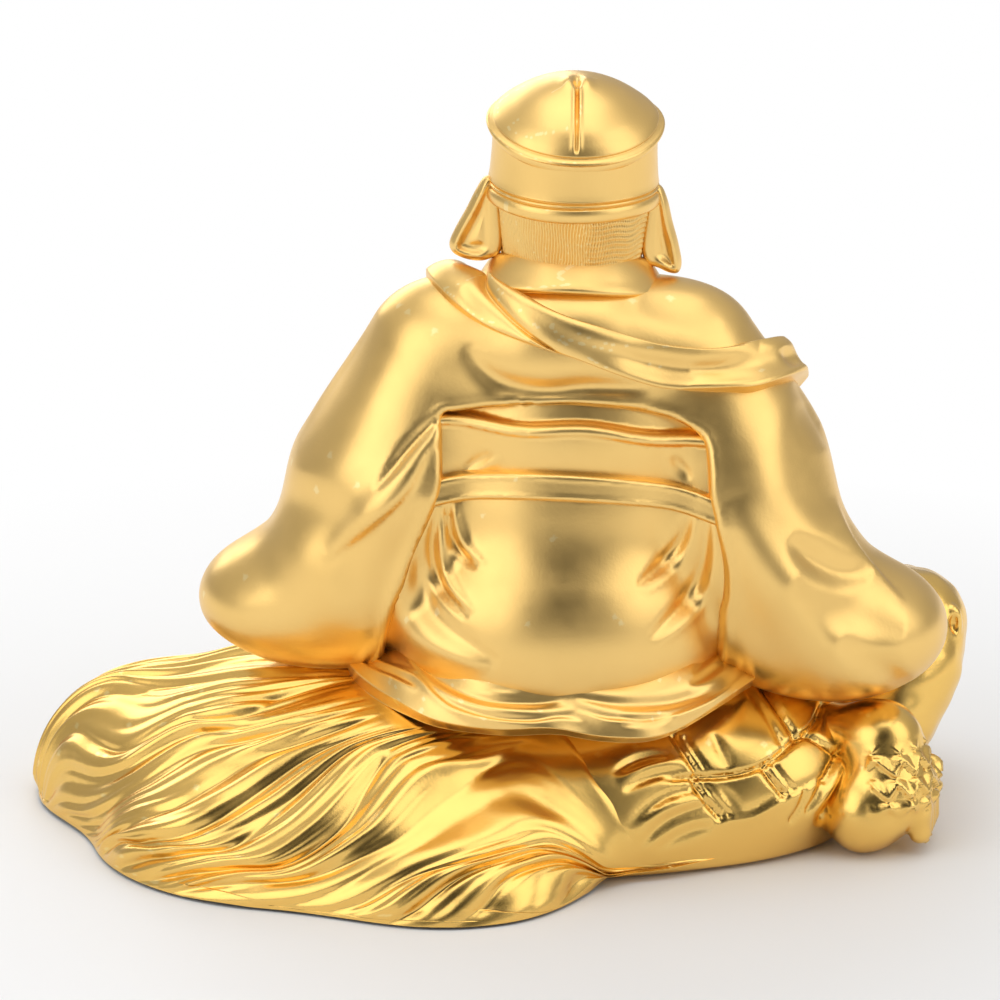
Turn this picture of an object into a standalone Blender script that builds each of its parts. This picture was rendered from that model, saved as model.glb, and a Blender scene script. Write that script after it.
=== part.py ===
"""Seated elder on a long-tailed turtle: a hollow cast figurine, gold plated.

The figure faces -Y and its back is at +Y. The turtle carries it side-saddle: the turtle's head is
at -X and its tail of weed spreads towards +X. Z is up. The origin is the centre of the footprint, on
the surface below.
Lengths in the tables are millimetres from the foot of the figure's own axis.
"""

import math

import bmesh
import bpy
from mathutils import Euler, Matrix, Vector

MM = 0.001
FIGURE_AXIS = (-10.8, -0.6, 0.0)  # the figure's axis from the middle of the footprint, mm
GAP = 0.3  # joint gap between two castings, mm
WALL = 3.2  # wall of the hollow castings, mm
RIM_Z = 0.4  # the metal stands this high, on the felt, mm
SPLIT_Y = -3.0  # the joint plane between the back and front robe castings, mm
HEAD_PIVOT = (0.0, 0.0, 76.0)
HEAD_ROLL = 1.5  # the head leans towards the turtle's head, degrees


# --- scene and helpers ----------------------------------------------------------------------------

for old in list(bpy.data.objects):
    bpy.data.objects.remove(old)

parts = bpy.data.collections.new("seated_elder_on_turtle")
cutters = bpy.data.collections.new("cutters")
cutters.hide_render = True
bpy.context.scene.collection.children.link(parts)
bpy.context.scene.collection.children.link(cutters)


def material(name, colour, metallic, roughness):
    made = bpy.data.materials.new(name)
    made.use_nodes = True
    shader = made.node_tree.nodes["Principled BSDF"]
    shader.inputs["Base Color"].default_value = (*colour, 1.0)
    shader.inputs["Metallic"].default_value = metallic
    shader.inputs["Roughness"].default_value = roughness
    return made


SATIN_GOLD = material("satin_gold", (0.90, 0.62, 0.22), 1.0, 0.32)
BRIGHT_GOLD = material("bright_gold", (0.90, 0.62, 0.20), 1.0, 0.20)
STEEL = material("zinc_plated_steel", (0.62, 0.62, 0.60), 1.0, 0.35)
BASE_ALLOY = material("bare_casting_alloy", (0.50, 0.49, 0.47), 1.0, 0.50)
FELT = material("felt", (0.10, 0.015, 0.02), 0.0, 0.95)


def empty(name, place, turn=(0.0, 0.0, 0.0), parent=None):
    """A frame to hang parts on. The place is in millimetres and the turn in degrees."""
    made = bpy.data.objects.new(name, None)
    made.location = Vector(place) * MM
    made.rotation_euler = Euler([math.radians(a) for a in turn])
    made.parent = parent
    parts.objects.link(made)
    return made


FIGURE = empty("figure_frame", FIGURE_AXIS)
HEAD = empty("head_frame", HEAD_PIVOT, (0.0, -HEAD_ROLL, 0.0), FIGURE)


def add_object(name, mesh, finish, parent=FIGURE):
    made = bpy.data.objects.new(name, mesh)
    made.parent = parent
    parts.objects.link(made)
    mesh.materials.clear()
    mesh.materials.append(finish)
    return made


def from_bmesh(name, shape, finish, parent=FIGURE):
    mesh = bpy.data.meshes.new(name)
    shape.to_mesh(mesh)
    shape.free()
    return add_object(name, mesh, finish, parent)


def settle(obj):
    """Replaces the object's mesh with what its modifiers make of it."""
    bpy.context.view_layer.update()
    graph = bpy.context.evaluated_depsgraph_get()
    mesh = bpy.data.meshes.new_from_object(obj.evaluated_get(graph), depsgraph=graph)
    obj.modifiers.clear()
    obj.data = mesh
    mesh.name = obj.name
    return obj


def make_cutter(obj):
    """Turns an object into a cutter, which is no part of the figurine."""
    for collection in list(obj.users_collection):
        collection.objects.unlink(obj)
    cutters.objects.link(obj)
    obj.hide_render = True
    obj.display_type = "WIRE"
    return obj


def boolean(obj, other, operation):
    modifier = obj.modifiers.new("boolean", "BOOLEAN")
    modifier.operation = operation
    modifier.object = other
    modifier.solver = "EXACT"
    return settle(obj)


def cut(obj, *tools):
    """Takes the volume of every tool away at once and keeps the main body."""
    group = bpy.data.collections.new(f"{obj.name}_tools")
    cutters.children.link(group)
    for tool in tools:
        group.objects.link(tool)
    modifier = obj.modifiers.new("cut", "BOOLEAN")
    modifier.operation = "DIFFERENCE"
    modifier.operand_type = "COLLECTION"
    modifier.collection = group
    modifier.solver = "EXACT"
    return main_body(settle(obj))


def main_body(obj):
    """Drops the loose chips a cut can leave, keeping the largest body."""
    shape = bmesh.new()
    shape.from_mesh(obj.data)
    left = set(shape.verts)
    bodies = []
    while left:
        body = {left.pop()}
        edge = list(body)
        while edge:
            vert = edge.pop()
            for link in vert.link_edges:
                other = link.other_vert(vert)
                if other in left:
                    left.remove(other)
                    body.add(other)
                    edge.append(other)
        bodies.append(body)
    bodies.sort(key=len, reverse=True)
    for body in bodies[1:]:
        bmesh.ops.delete(shape, geom=list(body), context="VERTS")
    shape.to_mesh(obj.data)
    shape.free()
    return obj


def grown(obj, by):
    """A cutter that is the object grown by this many millimetres."""
    cutter = obj.copy()
    cutter.data = obj.data.copy()
    cutter.name = f"{obj.name}_grown"
    parts.objects.link(cutter)
    displace = cutter.modifiers.new("grow", "DISPLACE")
    displace.strength = by * MM
    displace.mid_level = 0.0
    settle(cutter)
    return make_cutter(cutter)


def carve(obj, *neighbours):
    """Cuts a seat for each neighbour, with the joint gap all round."""
    return cut(obj, *[grown(neighbour, GAP) for neighbour in neighbours])


def box_cutter(name, low, high, parent=FIGURE):
    shape = bmesh.new()
    low, high = Vector(low) * MM, Vector(high) * MM
    size = high - low
    place = Matrix.Translation((low + high) / 2) @ Matrix.Diagonal((*size, 1.0))
    bmesh.ops.create_cube(shape, size=1.0, matrix=place)
    return make_cutter(from_bmesh(name, shape, FELT, parent))


# --- shapes ---------------------------------------------------------------------------------------


def tilted(place, tilt):
    """The matrix of a place in millimetres and a tilt in degrees."""
    turn = Euler([math.radians(a) for a in tilt]).to_matrix().to_4x4()
    return Matrix.Translation(Vector(place) * MM) @ turn


def blob(centre, radii):
    """An ellipsoid of modelling clay: centre and radii in millimetres."""
    return Matrix.Translation(Vector(centre) * MM) @ Matrix.Diagonal((*(Vector(radii) * MM), 1.0))


def limb(*stations, step=0.35):
    """A tapering limb through (x, y, z, radius) stations, as a row of balls."""
    row = []
    for (*start, r_start), (*end, r_end) in zip(stations, stations[1:]):
        start, end = Vector(start), Vector(end)
        count = max(2, math.ceil((end - start).length / (step * min(r_start, r_end))))
        for i in range(count + 1):
            t = i / count
            radius = r_start + (r_end - r_start) * t
            row.append(blob(start.lerp(end, t), (radius, radius, radius)))
    return row


def clay(name, blobs, finish, voxel, smooth=6, keep=1.0, parent=FIGURE):
    """One closed body from overlapping clay: remeshed, smoothed and thinned out."""
    shape = bmesh.new()
    for place in blobs:
        bmesh.ops.create_uvsphere(shape, u_segments=20, v_segments=12, radius=1.0, matrix=place)
    made = from_bmesh(name, shape, finish, parent)
    remesh = made.modifiers.new("remesh", "REMESH")
    remesh.mode = "VOXEL"
    remesh.voxel_size = voxel * MM
    blend = made.modifiers.new("blend", "SMOOTH")
    blend.factor = 0.5
    blend.iterations = smooth
    settle(made)
    if keep < 1.0:
        thin = made.modifiers.new("thin", "DECIMATE")
        thin.ratio = keep
        settle(made)
    return made


def turned(name, profile, finish, parent, steps=40, scale=(1.0, 1.0), place=(0, 0, 0), tilt=(0, 0, 0)):
    """A turned piece: its half profile of (radius, z) runs down the outer side and is spun about Z."""
    shape = bmesh.new()
    points = [shape.verts.new((radius * MM, 0.0, z * MM)) for radius, z in profile]
    for a, b in zip(points, points[1:]):
        shape.edges.new((a, b))
    if profile[0][0] > 0.0 and profile[-1][0] > 0.0:
        shape.edges.new((points[-1], points[0]))
    made = from_bmesh(name, shape, finish, parent)
    screw = made.modifiers.new("turn", "SCREW")
    screw.steps = steps
    screw.render_steps = steps
    screw.use_merge_vertices = True
    screw.merge_threshold = 0.00001
    screw.use_smooth_shade = True
    settle(made)
    made.data.transform(tilted(place, tilt) @ Matrix.Diagonal((scale[0], scale[1], 1.0, 1.0)))
    return made


def cylinder(name, radius, low, high, finish, centre=(0.0, 0.0), sides=24, parent=FIGURE):
    shape = bmesh.new()
    place = Matrix.Translation(Vector((*centre, (low + high) / 2)) * MM)
    bmesh.ops.create_cone(
        shape,
        cap_ends=True,
        segments=sides,
        radius1=radius * MM,
        radius2=radius * MM,
        depth=(high - low) * MM,
        matrix=place,
    )
    return from_bmesh(name, shape, finish, parent)


def smooth_path(points, count):
    """Points evenly spread in parameter on a Catmull-Rom curve through the given ones."""
    points = [Vector(p) for p in points]
    padded = [2 * points[0] - points[1], *points, 2 * points[-1] - points[-2]]
    path = []
    for i in range(count):
        t = i / (count - 1) * (len(points) - 1)
        k = min(int(t), len(points) - 2)
        t -= k
        a, b, c, d = padded[k : k + 4]
        bend = (2 * a - 5 * b + 4 * c - d) * t * t + (3 * b - a - 3 * c + d) * t**3
        path.append(0.5 * (2 * b + (c - a) * t + bend))
    return path


def ribbon(name, one_edge, other_edge, base, thickness, finish, along=20, across=3):
    """A strip of cast cloth between two edge curves, laid on a base casting and thickened outwards."""
    one, other = smooth_path(one_edge, along), smooth_path(other_edge, along)
    shape = bmesh.new()
    rows = []
    for a, b in zip(one, other):
        rows.append([shape.verts.new(a.lerp(b, j / across) * MM) for j in range(across + 1)])
    for r, s in zip(rows, rows[1:]):
        for j in range(across):
            shape.faces.new((r[j], r[j + 1], s[j + 1], s[j]))
    made = from_bmesh(name, shape, finish)
    wrap = made.modifiers.new("lay", "SHRINKWRAP")
    wrap.target = base
    wrap.wrap_method = "NEAREST_SURFACEPOINT"
    wrap.wrap_mode = "ABOVE_SURFACE"
    wrap.offset = 0.5 * MM
    solid = made.modifiers.new("thicken", "SOLIDIFY")
    solid.thickness = thickness * MM
    solid.offset = 1.0
    return settle(made)


# --- the turtle -----------------------------------------------------------------------------------

CARAPACE = [
    ((-10, -5, 6), (29, 27, 19)),
    ((-24, -3, 9), (15, 21, 12)),
    ((2, -4, 9), (20, 24, 15)),
]
TAIL = [
    ((34, 5, 0), (30, 29, 16)),
    ((58.5, -12, 1), (14.5, 18, 16)),
    ((44, -6, 2), (18, 22, 18)),
    ((17, 19, 0), (21, 21, 13)),
    ((30, -4, 3), (23, 24, 19)),
]
TURTLE_HEAD = (
    (-30, -8, 13, 8),
    (-39, -9, 17, 6.8),
    (-44.5, -11, 22, 6.2),
    (-45.5, -15, 25, 5.8),
    (-44, -20, 26, 5.2),
    (-42.5, -25, 24.6, 3.8),
)
LEGS = {
    "right_front_leg": (
        (-33, 4, 16, 6),
        (-38, 7, 15, 5.5),
        (-40, 9, 8, 5),
        (-40, 11, 4.6, 4.4),
        (-45, 11, 3.6, 3.4),
    ),
    "left_front_leg": ((-30, -24, 14, 6), (-35, -28, 12, 5.2), (-37, -30, 7, 4.8), (-42, -32, 3.6, 3.4)),
    "left_rear_leg": ((4, -26, 12, 6), (8, -31, 8, 5), (9, -33, 4.8, 4.4), (14, -34, 3.6, 3.4)),
}
SHELL_SCREWS = (("base_screw_front", -26.0, -4.0, 20.0), ("base_screw_middle", 4.0, -16.0, 19.0))
TAIL_SCREWS = (("tail_screw_inner", 30.0, 18.0, 13.5), ("tail_screw_outer", 52.0, -8.0, 12.0))
BOSS_RADIUS = 3.4
FELT_HIGH = 1.6
PLATE_LOW, PLATE_HIGH = 1.9, 3.1
SCREW_PROFILE = ((0, 10.0), (1.2, 9.4), (1.2, 3.3), (2.5, 1.95), (0, 1.95))  # flush with the plate
SEAT_CENTRE = (2.5, -1.0)
SEAT_SHAFT = 11.0  # radius of the opening in the figure's underside, mm
SEAT_PLATE_RADIUS = 10.4
SEAT_PLATE_TOP = 31.0
SEAT_SCREWS = (("front", 2.5, -7.0), ("back", 2.5, 5.0))
SEAT_SCREW_PROFILE = ((0, 29.5), (1.5, 29.1), (1.5, 18.6), (3.2, 18.6), (3.2, 17.4), (2.4, 16.6), (0, 16.6))
SPOTFACE_RADIUS, SPOTFACE_Z = 5.2, 20.5  # flats for the washers, inside the carapace
SEAT_WASHER_PROFILE = ((4.4, 20.2), (4.4, 18.9), (1.9, 18.9), (1.9, 20.2))


def less_wall(blobs):
    """The hollow inside a casting's clay."""
    return [blob(centre, [r - WALL for r in radii]) for centre, radii in blobs]


def solid_casting(name, blobs, voxel):
    """A bright casting before it is hollowed."""
    return clay(name, [blob(*b) for b in blobs], BRIGHT_GOLD, voxel, smooth=5, keep=0.17)


def fastening(name, profile, x, y, steps=14):
    return turned(name, profile, STEEL, FIGURE, steps=steps, place=(x, y, 0))


def hollow_casting(casting, blobs, base_screws, *tools):
    """Hollows a casting from below, leaving a boss over each base screw. Gives the hollow back."""
    hollow = clay(casting.name + "_hollow", less_wall(blobs), SATIN_GOLD, 3.0, smooth=3, keep=0.14)
    core = add_object(casting.name + "_core", hollow.data.copy(), SATIN_GOLD)
    bosses = []
    for screw, x, y, top in base_screws:
        name = screw.name + "_boss"
        boss = cylinder(name, BOSS_RADIUS, PLATE_HIGH + GAP, top, BRIGHT_GOLD, centre=(x, y), sides=16)
        bosses.append(make_cutter(boss))
    cut(core, *bosses)
    cut(casting, make_cutter(core), *[grown(screw, GAP) for screw, *_ in base_screws], *tools)
    return make_cutter(hollow)


def closing_sheets(name, hollow, base_screws, *tools):
    """The plate that closes a hollow casting from below, and its felt."""
    holes = [grown(screw, GAP) for screw, *_ in base_screws]
    for label, low, high, finish in (
        (f"{name}_plate", PLATE_LOW, PLATE_HIGH, BASE_ALLOY),
        (f"{name}_felt", 0.0, FELT_HIGH, FELT),
    ):
        sheet = add_object(label, hollow.data.copy(), finish)
        shrink = sheet.modifiers.new("shrink", "DISPLACE")
        shrink.strength = -GAP * MM
        shrink.mid_level = 0.0
        settle(sheet)
        below = box_cutter(label + "_below", (-120, -120, -60), (120, 120, low))
        above = box_cutter(label + "_above", (-120, -120, high), (120, 120, 60))
        cut(sheet, below, above, *holes, *tools)


def base_screws(places):
    """Countersunk screws at (name, x, y, top of boss), each with its place."""
    return [(fastening(name, SCREW_PROFILE, x, y), x, y, top) for name, x, y, top in places]


def seat(solid_shell):
    """The plate in the figure's underside, and the two screws that draw it down on the carapace."""
    radius, top = SEAT_PLATE_RADIUS, SEAT_PLATE_TOP
    plate = cylinder("seat_plate", radius, 22.0, top, BASE_ALLOY, centre=SEAT_CENTRE, sides=28)
    screws = [fastening(f"seat_screw_{side}", SEAT_SCREW_PROFILE, x, y) for side, x, y in SEAT_SCREWS]
    for side, x, y in SEAT_SCREWS:
        fastening(f"seat_washer_{side}", SEAT_WASHER_PROFILE, x, y, steps=18)
    cut(plate, solid_shell, *[grown(screw, GAP) for screw in screws])
    return plate, screws


def turtle():
    """The hollow carapace and tail, closed from below, and the solid head and legs."""
    ground = box_cutter("below_rim", (-120, -120, -60), (120, 120, RIM_Z))
    shell = solid_casting("carapace", CARAPACE, 2.2)
    tail = solid_casting("seaweed_tail", TAIL, 2.4)
    shell_seat, tail_seat = grown(shell, GAP), grown(tail, GAP)
    plate, seat_screws = seat(shell_seat)
    shell_screws, tail_screws = base_screws(SHELL_SCREWS), base_screws(TAIL_SCREWS)
    seat_holes = [grown(screw, GAP) for screw in seat_screws]
    for side, x, y in SEAT_SCREWS:
        face = cylinder(f"seat_face_{side}", SPOTFACE_RADIUS, 8.0, SPOTFACE_Z, FELT, centre=(x, y), sides=20)
        seat_holes.append(make_cutter(face))
    shell_hollow = hollow_casting(shell, CARAPACE, shell_screws, ground, *seat_holes)
    tail_hollow = hollow_casting(tail, TAIL, tail_screws, ground, shell_seat)
    closing_sheets("base", shell_hollow, shell_screws)
    closing_sheets("tail", tail_hollow, tail_screws, shell_seat)
    head = clay("turtle_head", limb(*TURTLE_HEAD), BRIGHT_GOLD, 1.3, smooth=4, keep=0.17)
    cut(head, shell_seat)
    limbs = [head]
    for name, stations in LEGS.items():
        leg = clay(name, limb(*stations), BRIGHT_GOLD, 1.3, smooth=4, keep=0.15)
        limbs.append(cut(leg, ground, shell_seat, grown(head, GAP)))
    return shell_seat, tail_seat, plate, limbs


# --- the robe, the waist and the hem --------------------------------------------------------------

ROBE = [
    ((1, 2, 54), (26, 14, 21)),  # back and chest
    ((2, 2, 66), (18, 10.5, 10)),  # shoulders
    ((0, -9, 46), (22, 17, 18)),  # belly
    ((25, 4, 43), (13, 11, 16)),  # fall of the left sleeve
    ((33.5, -3, 31.5), (16, 14, 11.5)),  # left sleeve
    ((-24, 6, 43), (11, 11, 16)),  # fall of the right sleeve
    ((-30.5, 5, 29), (14.5, 14, 12.5)),  # right sleeve
    ((1, -18, 31), (27, 19, 10)),  # lap
    ((28, -20, 28), (15, 14, 8)),  # left knee
    ((-25, -18, 27), (13, 14, 8)),  # right knee
]
LEFT_ARM = ((18, 1, 65, 9.5), (28, -1, 49, 10.5))
RIGHT_ARM = ((-15, 2, 65, 8.5), (-24, 1, 51, 10))
LEAST_RADIUS = 3.0  # thinner clay leaves no hollow, mm


def robe_blobs(less=0.0):
    """The robe's clay, with every radius less by a wall."""
    thick = [(centre, radii) for centre, radii in ROBE if min(radii) - less > LEAST_RADIUS]
    blobs = [blob(centre, [r - less for r in radii]) for centre, radii in thick]
    for arm in (LEFT_ARM, RIGHT_ARM):
        blobs += limb(*[(x, y, z, r - less) for x, y, z, r in arm])
    return blobs


HIPS = [
    ((2.5, 5, 35), (22.5, 19, 12)),  # rounded seat
    ((1, 3, 48), (19.5, 15.5, 12)),  # waist
    ((0, 2, 57), (18.5, 13.5, 9)),
]
BELT_LOW, BELT_HIGH = 48.6, 52.6  # the belt's edges at the back, mm
BELT_TILT = 4.0  # the belt drops towards the turtle's head, degrees
BELT_PROUD = 0.9
SEAT_Z = 25.0  # the underside of the hips


def slab(name, low, high):
    """A level slab as wide as the figure, tilted with the belt."""
    made = box_cutter(name, (-60, -60, low), (60, 60, high))
    made.data.transform(Matrix.Rotation(math.radians(-BELT_TILT), 4, "Y"))
    return made


def waist_and_hips():
    """The three pieces that show in the robe's opening at the back, cut from one clay."""
    core = clay("core_clay", [blob(*b) for b in HIPS], SATIN_GOLD, 2.4, smooth=5, keep=0.18)
    seat_in_robe = grown(core, BELT_PROUD + GAP)
    hollow = clay("core_hollow", less_wall(HIPS), SATIN_GOLD, 3.0, smooth=3, keep=0.1)
    shaft = cylinder("core_shaft", SEAT_SHAFT, 0.0, 33.0, SATIN_GOLD, centre=SEAT_CENTRE, sides=20)
    boolean(core, make_cutter(hollow), "DIFFERENCE")
    boolean(core, make_cutter(shaft), "DIFFERENCE")
    pieces = []
    for name, low, high in (
        ("hip_drape", SEAT_Z, BELT_LOW - GAP),
        ("waist_belt", BELT_LOW, BELT_HIGH),
        ("waist_sash", BELT_HIGH + GAP, 90.0),
    ):
        piece = add_object(name, core.data.copy(), SATIN_GOLD)
        if name == "waist_belt":
            wide = piece.modifiers.new("proud", "DISPLACE")
            wide.strength = BELT_PROUD * MM
            wide.mid_level = 0.0
            settle(piece)
        boolean(piece, slab(name + "_slab", low, high), "INTERSECT")
        pieces.append(piece)
    make_cutter(core)
    return pieces, seat_in_robe


HEM_INNER = (
    (18, 2, 28),
    (16, 10, 27.5),
    (9, 16, 27),
    (1, 18, 26.5),
    (-7, 16, 27),
    (-13, 9, 27.5),
    (-15, 2, 28),
)
HEM_OUTER = (
    (31, -2, 25.5),
    (29, 13, 22),
    (17, 25, 18),
    (0, 28, 16.5),
    (-15, 24, 17),
    (-25, 13, 21),
    (-28, 3, 24),
)
HEM_THICK = 2.4


def robe_hem():
    """The trailing hem of the under-robe, flared over the turtle's back behind the hips."""
    inner, outer = smooth_path(HEM_INNER, 17), smooth_path(HEM_OUTER, 17)
    shape = bmesh.new()
    rows = []
    across = 3
    for a, b in zip(inner, outer):
        rows.append([shape.verts.new(a.lerp(b, j / across) * MM) for j in range(across + 1)])
    for r, s in zip(rows, rows[1:]):
        for j in range(across):
            shape.faces.new((r[j], s[j], s[j + 1], r[j + 1]))
    made = from_bmesh("robe_hem", shape, SATIN_GOLD)
    solid = made.modifiers.new("thicken", "SOLIDIFY")
    solid.thickness = HEM_THICK * MM
    solid.offset = 0.0
    return settle(made)


ARCH = (
    (24.5, 10),
    (24.5, 30),
    (22.5, 37),
    (19, 48),
    (17.8, 54),
    (17, 60),
    (12, 62),
    (0, 62.6),
    (-10, 61.6),
    (-16, 59.6),
    (-17.4, 57),
    (-18, 45),
    (-19.5, 30),
    (-19.5, 10),
)


def arch_cutter():
    """The opening in the back of the robe, through which the waist and the hips show."""
    shape = bmesh.new()
    shape.faces.new([shape.verts.new((x * MM, 4 * MM, z * MM)) for x, z in ARCH])
    made = from_bmesh("arch", shape, FELT)
    deep = made.modifiers.new("deep", "SOLIDIFY")
    deep.thickness = 50 * MM
    deep.offset = -1.0
    return make_cutter(settle(made))


def robe_envelope():
    return clay("robe_clay", robe_blobs(), SATIN_GOLD, 2.6, smooth=5, keep=0.16)


def robe_halves(envelope, tools):
    """Hollows the robe, opens it at the back and below, and parts it at the joint plane."""
    hollow = make_cutter(clay("robe_hollow", robe_blobs(WALL), SATIN_GOLD, 3.2, smooth=3, keep=0.1))
    shaft = cylinder("robe_shaft", SEAT_SHAFT, 0.0, 40.0, SATIN_GOLD, centre=SEAT_CENTRE, sides=20)
    openings = (hollow, make_cutter(shaft), arch_cutter())
    for name, low, high in (("robe_back", -80, SPLIT_Y + GAP / 2), ("robe_front", SPLIT_Y - GAP / 2, 80)):
        half = add_object(name, envelope.data.copy(), SATIN_GOLD)
        far_side = box_cutter(name + "_far_side", (-80, low, -10), (80, high, 120))
        cut(half, far_side, *openings, *tools)
    make_cutter(envelope)


# --- the head and the cap -------------------------------------------------------------------------

SKULL = [
    ((0, -0.5, 9.5), (9.6, 10.2, 10)),
    ((0, -3.5, 2.0), (8.4, 8.6, 8)),  # cheeks and jaw
    ((0, -12.2, 3.5), (1.5, 2.2, 2.6)),  # nose
    ((0, 1.5, -2), (7.2, 7.0, 7)),  # neck
]
LEFT_EAR = ((11.0, 0.5, 11, 1.5), (12.6, 0.8, 7, 1.7), (14.0, 0.6, 3.4, 1.8))
RIGHT_EAR = ((-10.3, 0.5, 9.6, 1.5), (-11.4, 0.8, 5, 1.7), (-12.7, 0.6, 0.8, 1.8))
BAND_PROFILE = (
    (10.3, 20.0),
    (10.7, 16.0),
    (10.9, 11.0),
    (11.2, 10.6),
    (11.1, 9.2),
    (10.2, 9.0),
    (9.0, 9.2),
    (9.0, 20.0),
)
CROWN_PROFILE = (
    (0, 6.0),
    (3.5, 5.6),
    (7, 4.2),
    (9.8, 2.0),
    (11.2, 0.2),
    (10.9, -0.9),
    (9.2, -1.3),
    (0, -1.3),
)
COLLAR_PROFILE = ((9.6, 2.6), (10.6, 2.2), (12.4, -0.8), (13.2, -3.4), (11.8, -4.2), (8.4, -1.6), (8.2, 2.4))
CROWN_PLACE = (0.0, 0.4, 18.6)
CROWN_TILT = (-17.0, 0.0, 0.0)  # the crown tips back
NECK_BORE = ((0, 6.0), (9.4, 6.0), (9.4, -5.2), (0, -5.2))  # the opening in the robe for the neck
NECK_FOOT = -5.0  # the neck ends here, in the shoulders
NECK_SCREW_PROFILE = ((0, 3.0), (1.5, 2.6), (1.5, -6.6), (3.0, -6.6), (3.0, -8.2), (2.4, -8.8), (0, -8.8))
NECK_WASHER_PROFILE = ((7.2, -5.4), (7.2, -6.3), (1.8, -6.3), (1.8, -5.4))


def head_and_cap():
    """The head with its cap and collar, and the screw that draws its neck down on the shoulders."""
    blobs = [blob(*b) for b in SKULL] + limb(*LEFT_EAR) + limb(*RIGHT_EAR)
    head = clay("head", blobs, SATIN_GOLD, 1.2, smooth=3, keep=0.12, parent=HEAD)
    band = turned("cap_band", BAND_PROFILE, SATIN_GOLD, HEAD, steps=24, scale=(1.0, 1.03), tilt=(-8, 0, 0))
    crown = turned("cap_crown", CROWN_PROFILE, SATIN_GOLD, HEAD, 24, place=CROWN_PLACE, tilt=CROWN_TILT)
    ring = turned("collar", COLLAR_PROFILE, SATIN_GOLD, HEAD, 24, (1.0, 0.92), (0, -0.2, -1.6), (11, 0, 0))
    foot = box_cutter("below_neck", (-30, -30, 40), (30, 30, HEAD_PIVOT[2] + NECK_FOOT))
    pin = turned("neck_screw", NECK_SCREW_PROFILE, STEEL, HEAD, steps=14)
    washer = turned("neck_washer", NECK_WASHER_PROFILE, STEEL, HEAD, steps=18)
    above = box_cutter("above_crown", (-30, -30, 0), (30, 30, 40), HEAD)
    above.data.transform(tilted(CROWN_PLACE, CROWN_TILT))
    cut(band, above, grown(crown, GAP))
    cut(head, foot, *[grown(piece, GAP) for piece in (band, crown, ring, pin)])
    bore = turned("neck_bore", NECK_BORE, FELT, HEAD, steps=20, scale=(1.0, 1.2), place=(0, -1.5, 0))
    return ring, pin, washer, make_cutter(bore)


# --- the scarf and the hands ----------------------------------------------------------------------

SCARF_UPPER = (
    (9, -16, 62),
    (11, -11, 70),
    (13, -3, 76),
    (10, 8, 77),
    (-3.3, 13, 71),
    (-16, 9, 67.6),
    (-26, 0, 65),
    (-28, -6, 63),
)
SCARF_LOWER = (
    (18, -15, 58),
    (20, -9, 66),
    (20, 0, 75),
    (12.5, 11, 72.5),
    (-3.3, 16, 67),
    (-16, 14, 63),
    (-29.5, 2, 60.5),
    (-30, -7, 58),
)
SCARF_THICK = 2.2
HANDS = {
    "left_hand": ((9, -31, 38, 3.2), (2, -35, 38, 3.4), (-4, -35.5, 37.4, 2.2)),
    "right_hand": ((-11, -29, 43.5, 3.2), (-4, -33, 44.5, 3.4), (3, -34, 44, 2.2)),
}


def scarf_and_hands(envelope, ring):
    """The pieces cast apart and laid on the robe."""
    scarf = ribbon("shoulder_scarf", SCARF_UPPER, SCARF_LOWER, envelope, SCARF_THICK, SATIN_GOLD)
    carve(scarf, ring, envelope)
    for name, stations in HANDS.items():
        hand = clay(name, limb(*stations), SATIN_GOLD, 1.0, smooth=3, keep=0.25)
        carve(hand, envelope)


def main():
    shell_seat, tail_seat, plate, limbs = turtle()
    hem = cut(robe_hem(), shell_seat, tail_seat)
    waist, core_seat = waist_and_hips()
    carve(waist[0], hem, plate)
    ring, pin, washer, neck_bore = head_and_cap()
    envelope = robe_envelope()
    scarf_and_hands(envelope, ring)
    seats = [grown(piece, GAP) for piece in (hem, plate, ring, pin, washer, *limbs)]
    robe_halves(envelope, [shell_seat, tail_seat, core_seat, neck_bore, *seats])


main()
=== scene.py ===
"""The look of the seated elder on a long-tailed turtle: gold plated castings in a pale studio.

Lengths are millimetres from the foot of the figure's own axis, as in the CAD. Those of the head, the
cap and the collar are from the pivot of the head, and those of the studio are metres.
The figure faces -Y and is seen from behind.
Strokes on the back are drawn on the plane that the eye sees from behind: u to the right and v up.
"""

import math
from functools import partial

import bpy
import numpy as np
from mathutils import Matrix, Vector


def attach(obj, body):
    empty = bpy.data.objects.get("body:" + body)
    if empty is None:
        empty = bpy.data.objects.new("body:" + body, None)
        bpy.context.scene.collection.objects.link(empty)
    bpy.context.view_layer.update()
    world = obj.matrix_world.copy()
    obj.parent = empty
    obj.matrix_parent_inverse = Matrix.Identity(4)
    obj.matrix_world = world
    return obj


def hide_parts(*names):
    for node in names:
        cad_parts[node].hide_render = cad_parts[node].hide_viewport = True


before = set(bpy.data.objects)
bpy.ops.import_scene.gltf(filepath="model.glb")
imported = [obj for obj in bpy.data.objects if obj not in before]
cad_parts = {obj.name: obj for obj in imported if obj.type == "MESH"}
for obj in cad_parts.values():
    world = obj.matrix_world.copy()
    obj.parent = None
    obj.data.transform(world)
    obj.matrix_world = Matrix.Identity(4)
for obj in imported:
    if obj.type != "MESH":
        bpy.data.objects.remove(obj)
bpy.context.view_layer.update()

MM = 0.001
FIGURE_AXIS = np.array((-10.8, -0.6, 0.0))
HEAD_PIVOT = np.array((0.7, 0.0, 76.0))
HEAD_ROLL = math.radians(1.5)

# The eye behind the figure
ELEVATION = math.radians(16.0)
AIM = np.array((9.87, 0.0, 44.6))
RANGE = 548.0
TOWARD_EYE = np.array((0.0, math.cos(ELEVATION), math.sin(ELEVATION)))
UP_IN_VIEW = np.array((0.0, -math.sin(ELEVATION), math.cos(ELEVATION)))


# --- shape toolkit --------------------------------------------------------------------------------


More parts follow.
